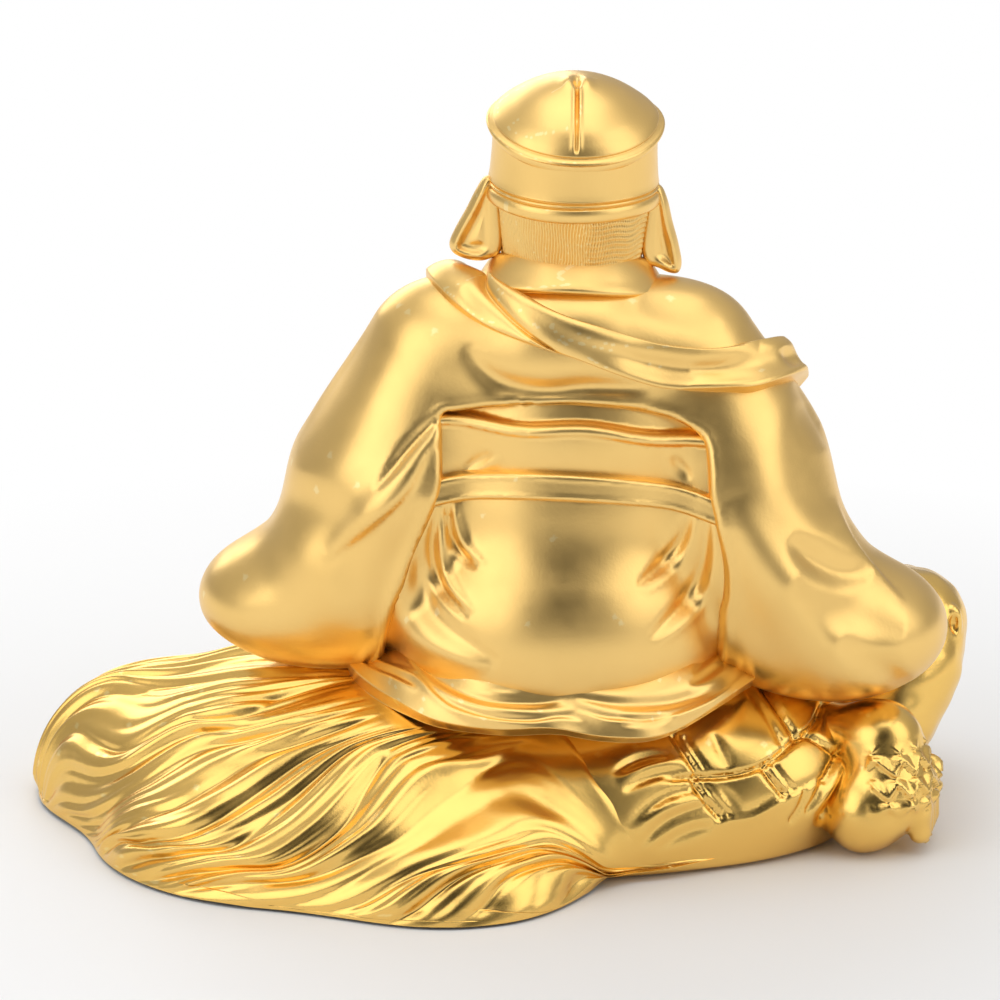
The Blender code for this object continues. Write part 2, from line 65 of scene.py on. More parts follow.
def length(v):
    return np.sqrt((v * v).sum(-1))


def ease(t):
    t = np.clip(t, 0.0, 1.0)
    return t * t * (3.0 - 2.0 * t)


def bell(gap, width):
    """1 where the gap is 0, falling smoothly to nothing about two widths away."""
    return np.exp(-((gap / width) ** 2))


def smooth_path(points, count):
    """A smooth curve through the points, read at count places."""
    points = np.array(points, float)
    padded = np.vstack((2 * points[0] - points[1], points, 2 * points[-1] - points[-2]))
    place = np.linspace(0, len(points) - 1, count)
    index = np.minimum(place.astype(int), len(points) - 2)
    t = (place - index)[:, None]
    a, b, c, d = (padded[index + k] for k in range(4))
    bend = 2 * b + (c - a) * t + (2 * a - 5 * b + 4 * c - d) * t * t + (3 * b - a - 3 * c + d) * t**3
    return bend / 2


def smooth_values(values, at):
    """Values given at even steps, read smoothly at places from 0 to 1."""
    fine = 400
    curve = smooth_path(np.array(values, float)[:, None], fine)[:, 0]
    return np.interp(at, np.linspace(0, 1, fine), curve)


def lower(a, b, k):
    """The smaller of the two, blended over k: a soft union."""
    near = np.maximum(k - np.abs(a - b), 0.0) / k
    return np.minimum(a, b) - near * near * k / 4


def upper(a, b, k):
    return -lower(-a, -b, k)


def ball(p, centre, radii):
    """About the signed distance to an ellipsoid."""
    q = (p - np.array(centre) + 1e-4) / np.array(radii)
    near = length(q)
    return near * (near - 1) / np.maximum(length(q / np.array(radii)), 1e-6)


def balls(p, table, k):
    """A soft union of ellipsoids, each given as (centre, radii)."""
    found = ball(p, *table[0])
    for centre, radii in table[1:]:
        found = lower(found, ball(p, centre, radii), k)
    return found


def limb(p, points, k=1.5):
    """A chain of tapered rods: (x, y, z, radius)."""
    found = None
    for start, end in zip(points[:-1], points[1:]):
        start, end = np.array(start, float), np.array(end, float)
        way = end[:3] - start[:3]
        t = np.clip((p - start[:3]) @ way / (way @ way), 0, 1)
        gap = length(p - start[:3] - t[:, None] * way) - (start[3] + (end[3] - start[3]) * t)
        found = gap if found is None else lower(found, gap, k)
    return found


def outline_gap(at, outline):
    """Signed distance to a closed outline in a plane, negative inside."""
    least = np.full(len(at), 1e9)
    inside = np.zeros(len(at), bool)
    for a, b in zip(outline, np.roll(outline, -1, axis=0)):
        way = b - a
        t = np.clip((at - a) @ way / max(way @ way, 1e-9), 0, 1)
        least = np.minimum(least, length(at - a - t[:, None] * way))
        crosses = (a[1] > at[:, 1]) != (b[1] > at[:, 1])
        rise = b[1] - a[1] if abs(b[1] - a[1]) > 1e-9 else 1e-9
        inside ^= crosses & (at[:, 0] < a[0] + (at[:, 1] - a[1]) * way[0] / rise)
    return np.where(inside, -least, least)


def slope(field, p):
    """(value, unit direction outward) of a field at the points."""
    step = 0.03
    total = np.zeros_like(p)
    for way in ((1, -1, -1), (-1, -1, 1), (-1, 1, -1), (1, 1, 1)):
        total += np.array(way) * field(p + step * np.array(way))[:, None]
    return field(p), total / np.maximum(length(total), 1e-9)[:, None]


def snap(field, p, height=0.0, steps=3):
    """Moves points onto the surface that stands height proud of the field's zero surface."""
    for _ in range(steps):
        gap, out = slope(field, p)
        p = p - out * np.clip(gap - height, -2.0, 2.0)[:, None]
    return p


def smoothed(p, edges):
    """Points moved half way to the mean of their neighbours."""
    total = np.zeros_like(p)
    count = np.bincount(edges.ravel(), minlength=len(p))
    for axis in range(3):
        total[:, axis] += np.bincount(edges[:, 0], p[edges[:, 1], axis], len(p))
        total[:, axis] += np.bincount(edges[:, 1], p[edges[:, 0], axis], len(p))
    return p + 0.5 * (total / np.maximum(count, 1)[:, None] - p)


def edges_of(quads):
    pairs = np.vstack([quads[:, (i, (i + 1) % 4)] for i in range(4)])
    return np.sort(pairs, axis=1)


def split(p, quads):
    """Each quad becomes four."""
    pairs = edges_of(quads)
    code = pairs[:, 0] * len(p) + pairs[:, 1]
    unique, first, where = np.unique(code, return_index=True, return_inverse=True)
    pairs = pairs[first]
    middles = len(p) + where.reshape(4, -1).T
    centres = len(p) + len(unique) + np.arange(len(quads))
    new = np.vstack((p, p[pairs].mean(1), p[quads].mean(1)))
    parts = [
        np.column_stack((quads[:, i], middles[:, i], centres, middles[:, i - 1])) for i in range(4)
    ]
    return new, np.vstack(parts)


def sculpt(field, low, high, step, relax=3):
    """(points, quads) of a field's zero surface inside a box, from cells of that step split once."""
    axes = [np.arange(a, b + step, step) for a, b in zip(low, high)]
    grid = np.stack(np.meshgrid(*axes, indexing="ij"), -1)
    value = field(grid.reshape(-1, 3)).reshape(grid.shape[:3])
    inside = value < 0
    corners = [(i, j, k) for i in (0, 1) for j in (0, 1) for k in (0, 1)]
    size = np.array(value.shape) - 1
    count = sum(
        inside[i : i + size[0], j : j + size[1], k : k + size[2]].astype(int) for i, j, k in corners
    )
    cells = np.argwhere((count > 0) & (count < 8))
    number = np.full(size, -1)
    number[tuple(cells.T)] = np.arange(len(cells))
    total = np.zeros((len(cells), 3))
    hits = np.zeros(len(cells))
    for a in corners:
        for axis in range(3):
            if a[axis]:
                continue
            b = list(a)
            b[axis] = 1
            va = value[tuple((cells + a).T)]
            vb = value[tuple((cells + b).T)]
            cross = (va < 0) != (vb < 0)
            t = np.where(cross, va / np.where(cross, va - vb, 1), 0)
            spot = np.array(a) + t[:, None] * (np.array(b) - np.array(a))
            total += np.where(cross[:, None], spot, 0)
            hits += cross
    p = np.array(low) + (cells + total / np.maximum(hits, 1)[:, None]) * step
    quads = []
    for axis in range(3):
        one, two = (axis + 1) % 3, (axis + 2) % 3
        head = [slice(None)] * 3
        tail = [slice(None)] * 3
        head[axis], tail[axis] = slice(0, -1), slice(1, None)
        start, end = inside[tuple(head)], inside[tuple(tail)]
        spots = np.argwhere(start != end)
        keep = (
            (spots[:, one] > 0)
            & (spots[:, two] > 0)
            & (spots[:, one] < size[one])
            & (spots[:, two] < size[two])
        )
        spots = spots[keep]
        around = []
        for da, db in ((0, 0), (-1, 0), (-1, -1), (0, -1)):
            cell = spots.copy()
            cell[:, one] += da
            cell[:, two] += db
            around.append(number[tuple(cell.T)])
        four = np.column_stack(around)
        flip = ~start[tuple(spots.T)]
        four[flip] = four[flip][:, ::-1]
        quads.append(four)
    p, quads = split(p, np.vstack(quads))
    edges = np.unique(edges_of(quads), axis=0)
    for _ in range(relax):
        p = snap(field, smoothed(p, edges), steps=1)
    return snap(field, p, steps=2), quads


def seen(p):
    """Where points show from behind, on the view plane: (u, v)."""
    q = p - AIM
    near = RANGE / (RANGE - q @ TOWARD_EYE)
    return np.column_stack((-q[:, 0] * near, (q @ UP_IN_VIEW) * near))


def land(field, marks, height=0.0):
    """The points of a surface that show from behind at these marks on the view plane."""
    marks = np.array(marks, float)
    flat = AIM + np.outer(marks[:, 0], (-1, 0, 0)) + np.outer(marks[:, 1], UP_IN_VIEW)
    eye = AIM + TOWARD_EYE * RANGE
    way = flat - eye
    way /= length(way)[:, None]
    run_up, steps = 75.0, 110
    p = eye + way * (RANGE - run_up)
    best, least = p.copy(), np.full(len(p), 1e9)
    for _ in range(steps):
        gap = field(p) - height
        closer = np.abs(gap) < least
        best[closer], least[closer] = p[closer], np.abs(gap)[closer]
        p = p + way * np.clip(gap * 0.7, -2.0, 2.5)[:, None]
    return snap(field, best, height)


def to_path(at, path):
    """(distance, side, place along from 0 to 1) of points from a path in the plane."""
    least = np.full(len(at), 1e9)
    side = np.ones(len(at))
    along = np.zeros(len(at))
    runs = np.concatenate(([0], np.cumsum(length(np.diff(path, axis=0)))))
    for i, (a, b) in enumerate(zip(path[:-1], path[1:])):
        way = b - a
        size = max(way @ way, 1e-12)
        t = np.clip((at - a) @ way / size, 0, 1)
        off = at - a - t[:, None] * way
        gap = length(off)
        closer = gap < least
        least[closer] = gap[closer]
        side[closer] = np.sign(way[0] * off[closer, 1] - way[1] * off[closer, 0])
        along[closer] = (runs[i] + t[closer] * np.sqrt(size)) / runs[-1]
    return least, side, along


def carve(at, strokes):
    """Height that the strokes give a surface at places in the plane.

    A stroke is (kind, width, height, points). A ridge or groove is even on both sides. A fold stands
    up on the left of its line and drops sharply on the right.
    """
    total = np.zeros(len(at))
    for kind, width, height, points in strokes:
        path = smooth_path(points, 6 * len(points))
        reach = 3.5 * width
        near = ((at > path.min(0) - reach) & (at < path.max(0) + reach)).all(1)
        if not near.any():
            continue
        gap, side, along = to_path(at[near], path)
        if kind == "seam":
            fade = ease(np.minimum(along, 1 - along) / 0.08 + 0.3)
        else:
            fade = np.sin(np.pi * np.clip(along, 0, 1)) ** 0.8
            width = width * (0.4 + 0.6 * fade)
        if kind == "ridge":
            shape = bell(gap, width)
        elif kind in ("groove", "seam"):
            shape = -bell(gap, width)
        else:
            signed = gap * side
            rise = 0.5 + 0.5 * np.tanh(signed / 0.3)
            shape = rise * np.exp(-np.maximum(signed, 0) / width)
            shape -= 0.45 * (1 - rise) * np.exp(-np.maximum(-signed, 0) / (0.6 * width))
        total[near] += height * fade * shape
    return total


def ripple(p, size, seed):
    """Soft unevenness from -1 to 1, the same on every run."""
    random = np.random.default_rng(seed)
    total = np.zeros(len(p))
    for _ in range(7):
        way = random.normal(size=3)
        way *= 2 * math.pi / (size * length(way)) * random.uniform(0.7, 1.5)
        total += np.sin(p @ way + random.uniform(0, 6.28))
    return total / 4.0


# --- pieces ---------------------------------------------------------------------------------------


def head_to_figure(p):
    """From the frame of the head to the figure's."""
    c, s = math.cos(-HEAD_ROLL), math.sin(-HEAD_ROLL)
    turned = np.column_stack((p[:, 0] * c + p[:, 2] * s, p[:, 1], p[:, 2] * c - p[:, 0] * s))
    return turned + HEAD_PIVOT


def add_piece(name, p, faces, slot, *nodes):
    """A shown piece that stands for CAD nodes. faces is an array of quads, or a list of arrays."""
    faces = faces if isinstance(faces, list) else [faces]
    mesh = bpy.data.meshes.new(name)
    mesh.vertices.add(len(p))
    mesh.vertices.foreach_set("co", ((p + FIGURE_AXIS) * MM).astype(np.float32).ravel())
    corners = np.concatenate([f.ravel() for f in faces])
    sizes = np.concatenate([np.full(len(f), f.shape[1]) for f in faces])
    mesh.loops.add(len(corners))
    mesh.loops.foreach_set("vertex_index", corners.astype(np.int32))
    mesh.polygons.add(len(sizes))
    starts = np.concatenate(([0], np.cumsum(sizes)[:-1]))
    mesh.polygons.foreach_set("loop_start", starts.astype(np.int32))
    mesh.polygons.foreach_set("use_smooth", np.ones(len(sizes), bool))
    mesh.update(calc_edges=True)
    mesh.validate()
    piece = bpy.data.objects.new(name, mesh)
    bpy.context.scene.collection.objects.link(piece)
    mesh.materials.append(PLATES[slot])
    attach(piece, "root")
    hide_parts(*nodes)


def sheet_quads(rows, columns, loop_rows=False, loop_columns=False):
    """Quads of a grid of points, row by row."""
    r = np.arange(rows if loop_rows else rows - 1)
    c = np.arange(columns if loop_columns else columns - 1)
    r, c = np.meshgrid(r, c, indexing="ij")
    r2, c2 = (r + 1) % rows, (c + 1) % columns
    four = np.stack((r * columns + c, r * columns + c2, r2 * columns + c2, r2 * columns + c), -1)
    return four.reshape(-1, 4)


def facing(out, way, soft=0.3):
    """1 where a surface faces that way, falling to 0 at its edge."""
    return ease((out @ np.array(way)) / soft)


def displaced(field, p, heights):
    """Points of a field's surface moved outward by heights(points, outward directions)."""
    _, out = slope(field, p)
    return p + out * heights(p, out)[:, None]


def carved_behind(p, out, strokes):
    """Heights of strokes on what faces the eye behind."""
    return facing(out, TOWARD_EYE) * carve(seen(p), strokes)


def cast(node, field, box, step, slot, heights=None, relax=3):
    """Sculpts a field within a box, gives it its relief and adds it as the casting of a CAD node."""
    p, quads = sculpt(field, *box, step, relax)
    if heights is not None:
        p = displaced(field, p, heights)
    add_piece(f"{node}_casting", p, quads, slot, node)


def keep_part(p, quads, keep):
    """The faces whose centre passes the test, and the points that they use."""
    faces = quads[keep(p[quads].mean(1))]
    used, where = np.unique(faces, return_inverse=True)
    return p[used], where.reshape(faces.shape)


# --- robe -----------------------------------------------------------------------------------------

ROBE_BALLS = (
    ((1, 2, 54), (25.5, 13.4, 20.5)),
    ((0, -9, 46), (22, 17, 18)),
    ((24, 4, 44), (11.5, 11.2, 16)),
    ((34.2, -2, 31.2), (15.6, 13.6, 9.2)),
    ((-22, 6, 43), (10, 11, 17)),
    ((-33.6, 4, 28.8), (15.4, 13.4, 9.8)),
    ((20, 6, 44), (12, 10.5, 16)),
    ((-18, 7, 44), (11, 10, 16)),
    ((28.5, 1.5, 36.5), (11.5, 12.0, 11)),
    ((-27, 6, 36), (10.5, 11.6, 11)),
    ((1, -18, 31), (27, 19, 10)),
    ((28, -20, 28), (15, 14, 8)),
    ((-25, -18, 27), (13, 14, 8)),
)
LEFT_ARM = ((18, 1, 65, 9.3), (26.8, -1, 49, 9.6))
RIGHT_ARM = ((-15, 2, 65, 8.5), (-22.8, 1, 51, 9.4))
# The opening at the waist, as (x, z)
ARCH = smooth_path(
    (
        (25.5, 8), (25.3, 24), (23.8, 33), (22.3, 37.6), (20.8, 42.2), (19.4, 45.5), (18.1, 48.8),
        (17.3, 52), (17.3, 57), (17.1, 59.6), (15, 60.0), (9, 60.9), (3, 61.3), (-4, 60.9),
        (-9, 59.9), (-13.2, 58.6), (-15.9, 56.8), (-16.6, 54), (-16.8, 50), (-17.5, 46.5),
        (-18.6, 41), (-18.8, 36.8), (-18.3, 33), (-18.3, 22), (-18.3, 8),
    ),
    110,
)
SPLIT_Y = -3.25  # the back casting of the robe is behind this, and the front one before it


def robe_body(p):
    """The robe without its cuffs and its opening."""
    body = balls(p, ROBE_BALLS, 6.5)
    body = lower(body, ball(p, (1.5, 1.5, 66.3), (17.3, 9.6, 9.4)), 5.0)
    body = lower(body, ball(p, (1, 5.5, 67.5), (13.5, 8.8, 8.2)), 4.0)
    return lower(body, lower(limb(p, LEFT_ARM), limb(p, RIGHT_ARM), 3.0), 7.0)


CUFFS = (
    ((30, -8, 36, 7.5), (20, -22, 37.5, 6.2), (11.8, -28.8, 38.4, 4.7)),
    ((-28, -4, 40, 7.0), (-20, -18, 42, 5.8), (-13.2, -27.2, 43.5, 4.5)),
)


def robe_field(p):
    body = robe_body(p)
    front = p[:, 1] < 0
    for cuff in CUFFS:
        body[front] = lower(body[front], limb(p[front], cuff, 3.0), 2.0)
    behind = p[:, 1] > 2.0
    opening = np.full(len(p), 50.0)
    opening[behind] = outline_gap(p[behind][:, (0, 2)], ARCH)
    opening = np.maximum(opening, 3.0 - p[:, 1])
    return upper(upper(body, -opening, 0.9), 15.0 - p[:, 2], 0.6)


ROBE_STROKES_BEHIND = (
    # under the scarf
    ("groove", 1.7, 1.3, ((-4.5, 20.3), (-2.6, 17.4), (0.8, 15), (5.9, 13.9), (11.8, 14.5), (19.7, 14.7))),
    # the left sleeve
    ("groove", 0.9, 0.9, ((-7.5, 11.3), (-9.5, 9.5), (-12.1, 6.6), (-14.5, 3.4), (-16.3, 1.1))),
    ("ridge", 2.2, 0.9, ((-7.8, 9.9), (-10.8, 6.3), (-13.7, 1.8), (-18.2, -2.6), (-22.9, -6.6))),
    ("fold", 1.8, 0.8, ((-23.4, -8.2), (-17.6, -4.2), (-12.9, 0), (-10.5, 3.9), (-8.4, 8.4))),
    ("groove", 2.6, 0.9, ((-9.2, 0), (-11.3, -3.9), (-13.7, -8.2), (-15.5, -13.2), (-16.3, -18.4))),
    ("groove", 4.0, 0.8, ((-28.9, 1.6), (-25.5, -0.7), (-22.1, -3.9), (-19.5, -9.2), (-18.2, -17.1))),
    ("groove", 4.0, 0.6, ((-16.8, 25), (-19.7, 18.4), (-23, 11.2), (-25.6, 3.9))),
    # the right sleeve
    ("ridge", 4.2, 1.2, ((30.9, 0), (33.5, -6.6), (38.1, -12.1), (42.9, -16), (47.1, -21), (51.3, -25.8))),
    ("groove", 2.2, 1.5, ((38.1, -5), (41, -7.6), (44.7, -9.3), (48.9, -9.7))),
    ("groove", 3.6, 1.3, ((38.4, -10.5), (42.7, -13.9), (47.6, -16.4), (53.3, -17.1))),
    ("groove", 2.6, 1.2, ((44.7, -18.4), (47.9, -21), (51.3, -23.3), (54.2, -24.2))),
    ("groove", 3.8, 0.7, ((30, -3.9), (31, -11.2), (33.4, -17.4), (37.5, -22.1), (42.7, -25.5))),
    ("groove", 3.0, 0.6, ((40.2, 13.2), (39.5, 7.2), (40.5, 1.3), (44.2, -3.9))),
    ("fold", 1.6, 0.8, ((53.3, -13.2), (50.2, -9.9), (47.6, -6.8), (45.8, -3.9), (44.2, 0.5))),
    ("groove", 2.4, 0.6, ((38.9, 15.8), (41.4, 11.8), (43.4, 6.8))),
    # over the shoulders
    ("groove", 2.6, 0.35, ((18.4, 26.3), (23.7, 24.7), (28.9, 21.8))),
)
ROBE_STROKES_FRONT = (
    # lapels crossing on the chest, seen from the front as (x, z)
    ("fold", 2.2, 1.3, ((13, 73), (8, 66), (0, 58), (-8, 51), (-15, 45))),
    ("fold", 1.6, 1.0, ((-8, 53), (0, 60), (6, 66), (10.5, 72))),
    ("seam", 0.45, 0.5, ((16, 71), (11, 63.5), (3, 55.5), (-5, 48.5), (-12, 43))),
    # folds from the shoulders and over the lap
    ("fold", 2.4, 0.9, ((-22, 68), (-24, 58), (-22, 48), (-16, 40))),
    ("groove", 2.0, 0.9, ((24, 66), (27, 56), (24, 46), (18, 39))),
    ("fold", 2.6, 1.0, ((34, 56), (36, 46), (32, 38), (24, 33))),
    ("groove", 2.2, 0.9, ((-31, 54), (-33, 44), (-29, 36), (-21, 32))),
    ("fold", 2.4, 1.1, ((26, 36), (16, 33), (4, 31.5), (-8, 32.5), (-18, 35))),
    ("groove", 2.0, 1.0, ((30, 31), (18, 27.5), (5, 26), (-8, 27.5), (-20, 30))),
    ("ridge", 2.2, 0.8, ((34, 28), (22, 24.5), (8, 23.2), (-8, 24), (-22, 26.5))),
    ("groove", 1.6, 0.7, ((38, 24), (28, 21.5), (16, 20.5))),
    ("groove", 1.6, 0.7, ((-32, 25), (-24, 22.5), (-14, 21.5))),
    ("groove", 1.8, 0.8, ((0, 41), (-5, 36), (-14, 31.5))),
    ("groove", 1.8, 0.8, ((8, 41), (14, 36.5), (22, 34))),
)


def robe_heights(p, out):
    """Folds behind and in front, a fine rolled edge round the opening, and a slight unevenness."""
    front = facing(out, (0, -1, 0.15)) * ease((2 - p[:, 1]) / 6)
    total = ease((p[:, 1] + 6) / 6) * carved_behind(p, out, ROBE_STROKES_BEHIND)
    total += front * carve(p[:, (0, 2)], ROBE_STROKES_FRONT)
    rim = outline_gap(p[:, (0, 2)], ARCH)
    total += 0.16 * bell(rim - 0.9, 0.6) * ease((p[:, 1] - 3) / 3)
    return total + 0.10 * ripple(p, 11.0, 4)


def make_robe():
    p, quads = sculpt(robe_field, (-53, -42, 12), (55, 24, 80), 1.0)
    p = displaced(robe_field, p, robe_heights)
    back = keep_part(p, quads, lambda c: c[:, 1] > SPLIT_Y)
    front = keep_part(p, quads, lambda c: c[:, 1] <= SPLIT_Y)
    add_piece("robe_back_casting", *back, "satin_gold", "robe_back")
    add_piece("robe_front_casting", *front, "satin_gold", "robe_front")


# --- waist: sash, belt and drape ------------------------------------------------------------------

HIP_BALLS = (
    ((2.2, 4, 30), (22.5, 20.3, 19)),
    ((1, 3, 48), (19.5, 15.3, 12)),
    ((0, 2, 57), (18.5, 13.5, 9)),
)


def hips_field(p):
    """The waist inside the opening: never far inside the robe around it."""
    inner = balls(p, HIP_BALLS, 6.0)
    inner = lower(inner, robe_body(p) + 1.6, 2.5)
    return upper(inner, outline_gap(p[:, (0, 2)], ARCH) - 1.6, 0.5)


def belt_height(p):
    """Height over the middle of the belt, which sags at both ends and most at the turtle's head."""
    x = p[:, 0]
    return p[:, 2] - (51.4 + 0.065 * x - 0.0080 * x * x)


def drape_field(p):
    return upper(upper(hips_field(p), belt_height(p) + 1.2, 0.6), 21.5 - p[:, 2], 0.8)


def belt_field(p):
    return upper(hips_field(p) - 1.0, np.abs(belt_height(p)) - 1.7, 0.7)


def sash_field(p):
    """The folded panel over the belt, with a rolled upper lip."""
    x = p[:, 0]
    over_lip = p[:, 2] - (58.2 + 0.07 * x - 0.003 * x * x + 0.35 * np.sin(0.35 * x + 2.0))
    body = hips_field(p)
    panel = upper(body + 0.6 - 0.22 * np.clip(p[:, 2] - 52.5, -2, 7), over_lip + 0.6, 0.5)
    roll = upper(body - 1.1, np.abs(over_lip) - 0.75, 1.0)
    inner = upper(body + 0.9 - 0.12 * np.maximum(over_lip, 0), p[:, 2] - 63.5, 0.5)
    return upper(lower(lower(panel, roll, 0.3), inner, 0.4), -belt_height(p) + 0.6, 0.5)


DRAPE_STROKES = (
    ("groove", 0.7, 0.9, ((-6.8, 0), (-6.8, -2.9), (-5.9, -5.9), (-3.2, -9.2))),
    ("ridge", 0.8, 0.6, ((-5.8, 0), (-5.7, -2.9), (-4.6, -5.8), (-1.8, -8.7))),
    ("groove", 0.8, 1.1, ((-8.2, -1.1), (-8.9, -6.3), (-7.9, -11.3), (-4.2, -15.8))),
    ("ridge", 0.9, 0.7, ((-7.1, -2), (-7.6, -6.8), (-6.6, -11), (-3.4, -14.7))),
    ("ridge", 2.6, 1.2, ((-13.2, -5.9), (-12.6, -12.9), (-9.5, -18), (-1.3, -22.1))),
    ("groove", 1.4, 0.8, ((-10.5, -4.6), (-10.3, -11.8), (-7.4, -16.8), (0, -21.6))),
    ("groove", 0.9, 0.9, ((25, -1.6), (23.7, -5.3), (21.6, -8.2), (17.9, -11.3))),
    ("ridge", 0.9, 0.35, ((25.8, -3.2), (24.6, -6.8), (22.4, -9.7), (18.7, -12.4))),
    ("groove", 1.1, 1.0, ((27.2, -0.8), (26.8, -7.9), (24.7, -13.2), (19.5, -18.4))),
    ("ridge", 1.1, 0.5, ((28, -2.6), (27.8, -9.2), (25.8, -14.2), (20.5, -19.5))),
)
SASH_STROKES = (
    ("groove", 0.8, 0.35, ((-4.9, 3.9), (-3.3, 4.9), (-0.8, 6.3))),
    ("ridge", 0.9, 0.22, ((-4.5, 3.4), (-2.4, 4.3), (0.5, 5.7))),
    ("groove", 0.8, 0.35, ((22.5, 5.8), (23.7, 4.5), (25, 2.6))),
)


def belt_relief(p, out):
    """A fine bead along both edges of the belt."""
    return 0.12 * bell(np.abs(belt_height(p) - 0.1) - 1.2, 0.283)


def make_waist():
    drape_relief = partial(carved_behind, strokes=DRAPE_STROKES)
    sash_relief = partial(carved_behind, strokes=SASH_STROKES)
    cast("hip_drape", drape_field, ((-23, -8, 19), (28, 26, 52)), 0.8, "satin_gold", drape_relief)
    cast("waist_belt", belt_field, ((-22, -8, 46), (25, 22, 55)), 0.6, "satin_gold", belt_relief)
    cast("waist_sash", sash_field, ((-22, -8, 45), (23, 22, 65)), 0.7, "satin_gold", sash_relief)


# --- turtle shell and tail ------------------------------------------------------------------------

SHELL_BALLS = (
    ((-10, -5, 6), (29, 27, 19)),
    ((-24, -3, 9), (15, 21, 12)),
    ((2, -4, 9), (20, 24, 15)),
)
TAIL_BALLS = (
    ((34, 5, 0), (30, 29, 16)),
    ((58.5, -12, 1), (14.5, 18, 16)),
    ((44, -6, 2), (18, 22, 18)),
    ((17, 19, 0), (21, 21, 13)),
    ((30, -4, 3), (23, 24, 19)),
    ((9, 4, 3), (21, 23.5, 17.5)),
    ((22, 9, 5), (21, 18, 17)),
)

# The rise of the shell below the robe, so that no gap shows between the hem and the tail
SHELL_RISE = ((2, 2.5, 6), (27, 23, 16))
LOWEST = 0.4  # where the turtle's castings end, just over the table
FOOT_LEVEL = 0.6  # where the outline of the foot of the tail is read


def shell_body(p):
    return lower(balls(p, SHELL_BALLS, 5.0), ball(p, *SHELL_RISE), 4.0)


def shell_field(p):
    return upper(shell_body(p), LOWEST - p[:, 2], 0.8)


def mount_field(p):
    """The shell and the tail together, which the robe's hem lies on."""
    return lower(shell_body(p), balls(p, TAIL_BALLS, 7.0), 3.0)


def foot_gap(flat):
    """How far places on the ground plane lie outside the foot of the shell and tail."""
    return mount_field(np.column_stack((flat, np.full(len(flat), FOOT_LEVEL))))


SHELL_STROKES_BEHIND = (
    # the row of scutes along the flank: its upper and lower borders, then the seams across
    (
        "seam", 0.42, 0.8,
        (
            (22.1, -36.7), (25.3, -36.4), (29.2, -36.3), (33.1, -35.5), (36.3, -33.8),
            (39.1, -31.3), (40.5, -30.9), (42.6, -32.1), (45, -33.8),
        ),
    ),
    (
        "fold", 1.0, 0.6,
        ((44.5, -34.6), (41, -37.5), (37.1, -39.1), (33.1, -41.3), (28.9, -42.1), (27.4, -44.2)),
    ),
    ("seam", 0.42, 0.8, ((22.6, -30.5), (24.5, -33.5), (26.3, -36.3))),
    ("seam", 0.36, 0.3, ((24.2, -31), (26, -33.8), (27.5, -36))),
    ("seam", 0.42, 0.8, ((33.9, -23.1), (36.3, -27), (39.1, -31.3))),
    ("seam", 0.36, 0.3, ((32.4, -24.2), (34.6, -27.6), (37.2, -32.4))),
    ("seam", 0.42, 0.7, ((42.6, -26.6), (41.6, -29.2), (40.2, -30.9))),
    ("seam", 0.42, 0.8, ((25.3, -36.4), (26.8, -39.1), (29.2, -42))),
    ("seam", 0.36, 0.3, ((26.6, -36.6), (28, -38.9), (30.4, -41.6))),
    ("seam", 0.42, 0.8, ((34.5, -35), (35.9, -37), (37.6, -39.1))),
    ("seam", 0.36, 0.3, ((35.6, -34.3), (37.1, -36.3), (38.8, -38.4))),
    # the rim at the neck
    ("seam", 0.45, 0.8, ((47.9, -27.9), (47.3, -31), (46.2, -35.2), (44.2, -39.1), (41.8, -42.4))),
    ("ridge", 0.6, 0.5, ((46.8, -28.4), (46.3, -31.6), (45.1, -35), (43.1, -38.4), (40.9, -41.3))),
    ("seam", 0.42, 0.7, ((45.8, -27.9), (45.4, -31), (44.2, -34.2), (42.4, -37.4))),
    ("seam", 0.36, 0.4, ((40.1, -38.1), (39.5, -40.2), (38.1, -42.4))),
    ("seam", 0.36, 0.4, ((42.4, -36.6), (41.6, -38.9), (40.2, -41))),
    # soft growth lines inside the scutes
    ("groove", 0.9, 0.35, ((27.9, -30.6), (29.2, -33.1), (30.3, -35.5))),
    ("groove", 0.9, 0.30, ((29.2, -37.6), (30.5, -39.5), (31.8, -41))),
    # the weed's first strands, thin on the flank
    ("groove", 0.9, 0.5, ((27.9, -37.9), (25, -38.1), (21.7, -39.1), (18.7, -41), (16.8, -43.1))),
    ("groove", 0.9, 0.5, ((28.7, -40.2), (25.5, -40.8), (22.4, -42.1), (19.7, -44.2), (18.2, -46))),
    ("ridge", 1.0, 0.4, ((27.9, -39.1), (25, -39.5), (21.6, -40.6), (18.9, -42.6))),
    ("groove", 0.8, 0.5, ((25.3, -35.5), (22.1, -35.8), (19.1, -36.6), (16.3, -38.4))),
    ("groove", 0.8, 0.4, ((22.6, -33.7), (19.7, -33.9), (17.1, -34.7), (14.7, -36))),
    ("ridge", 1.0, 0.4, ((25, -34.5), (21.6, -34.7), (18.4, -35.5), (15.5, -37.1))),
    ("groove", 0.9, 0.4, ((28.4, -42.9), (25.5, -43.4), (22.6, -44.7), (20.3, -46.3))),
)
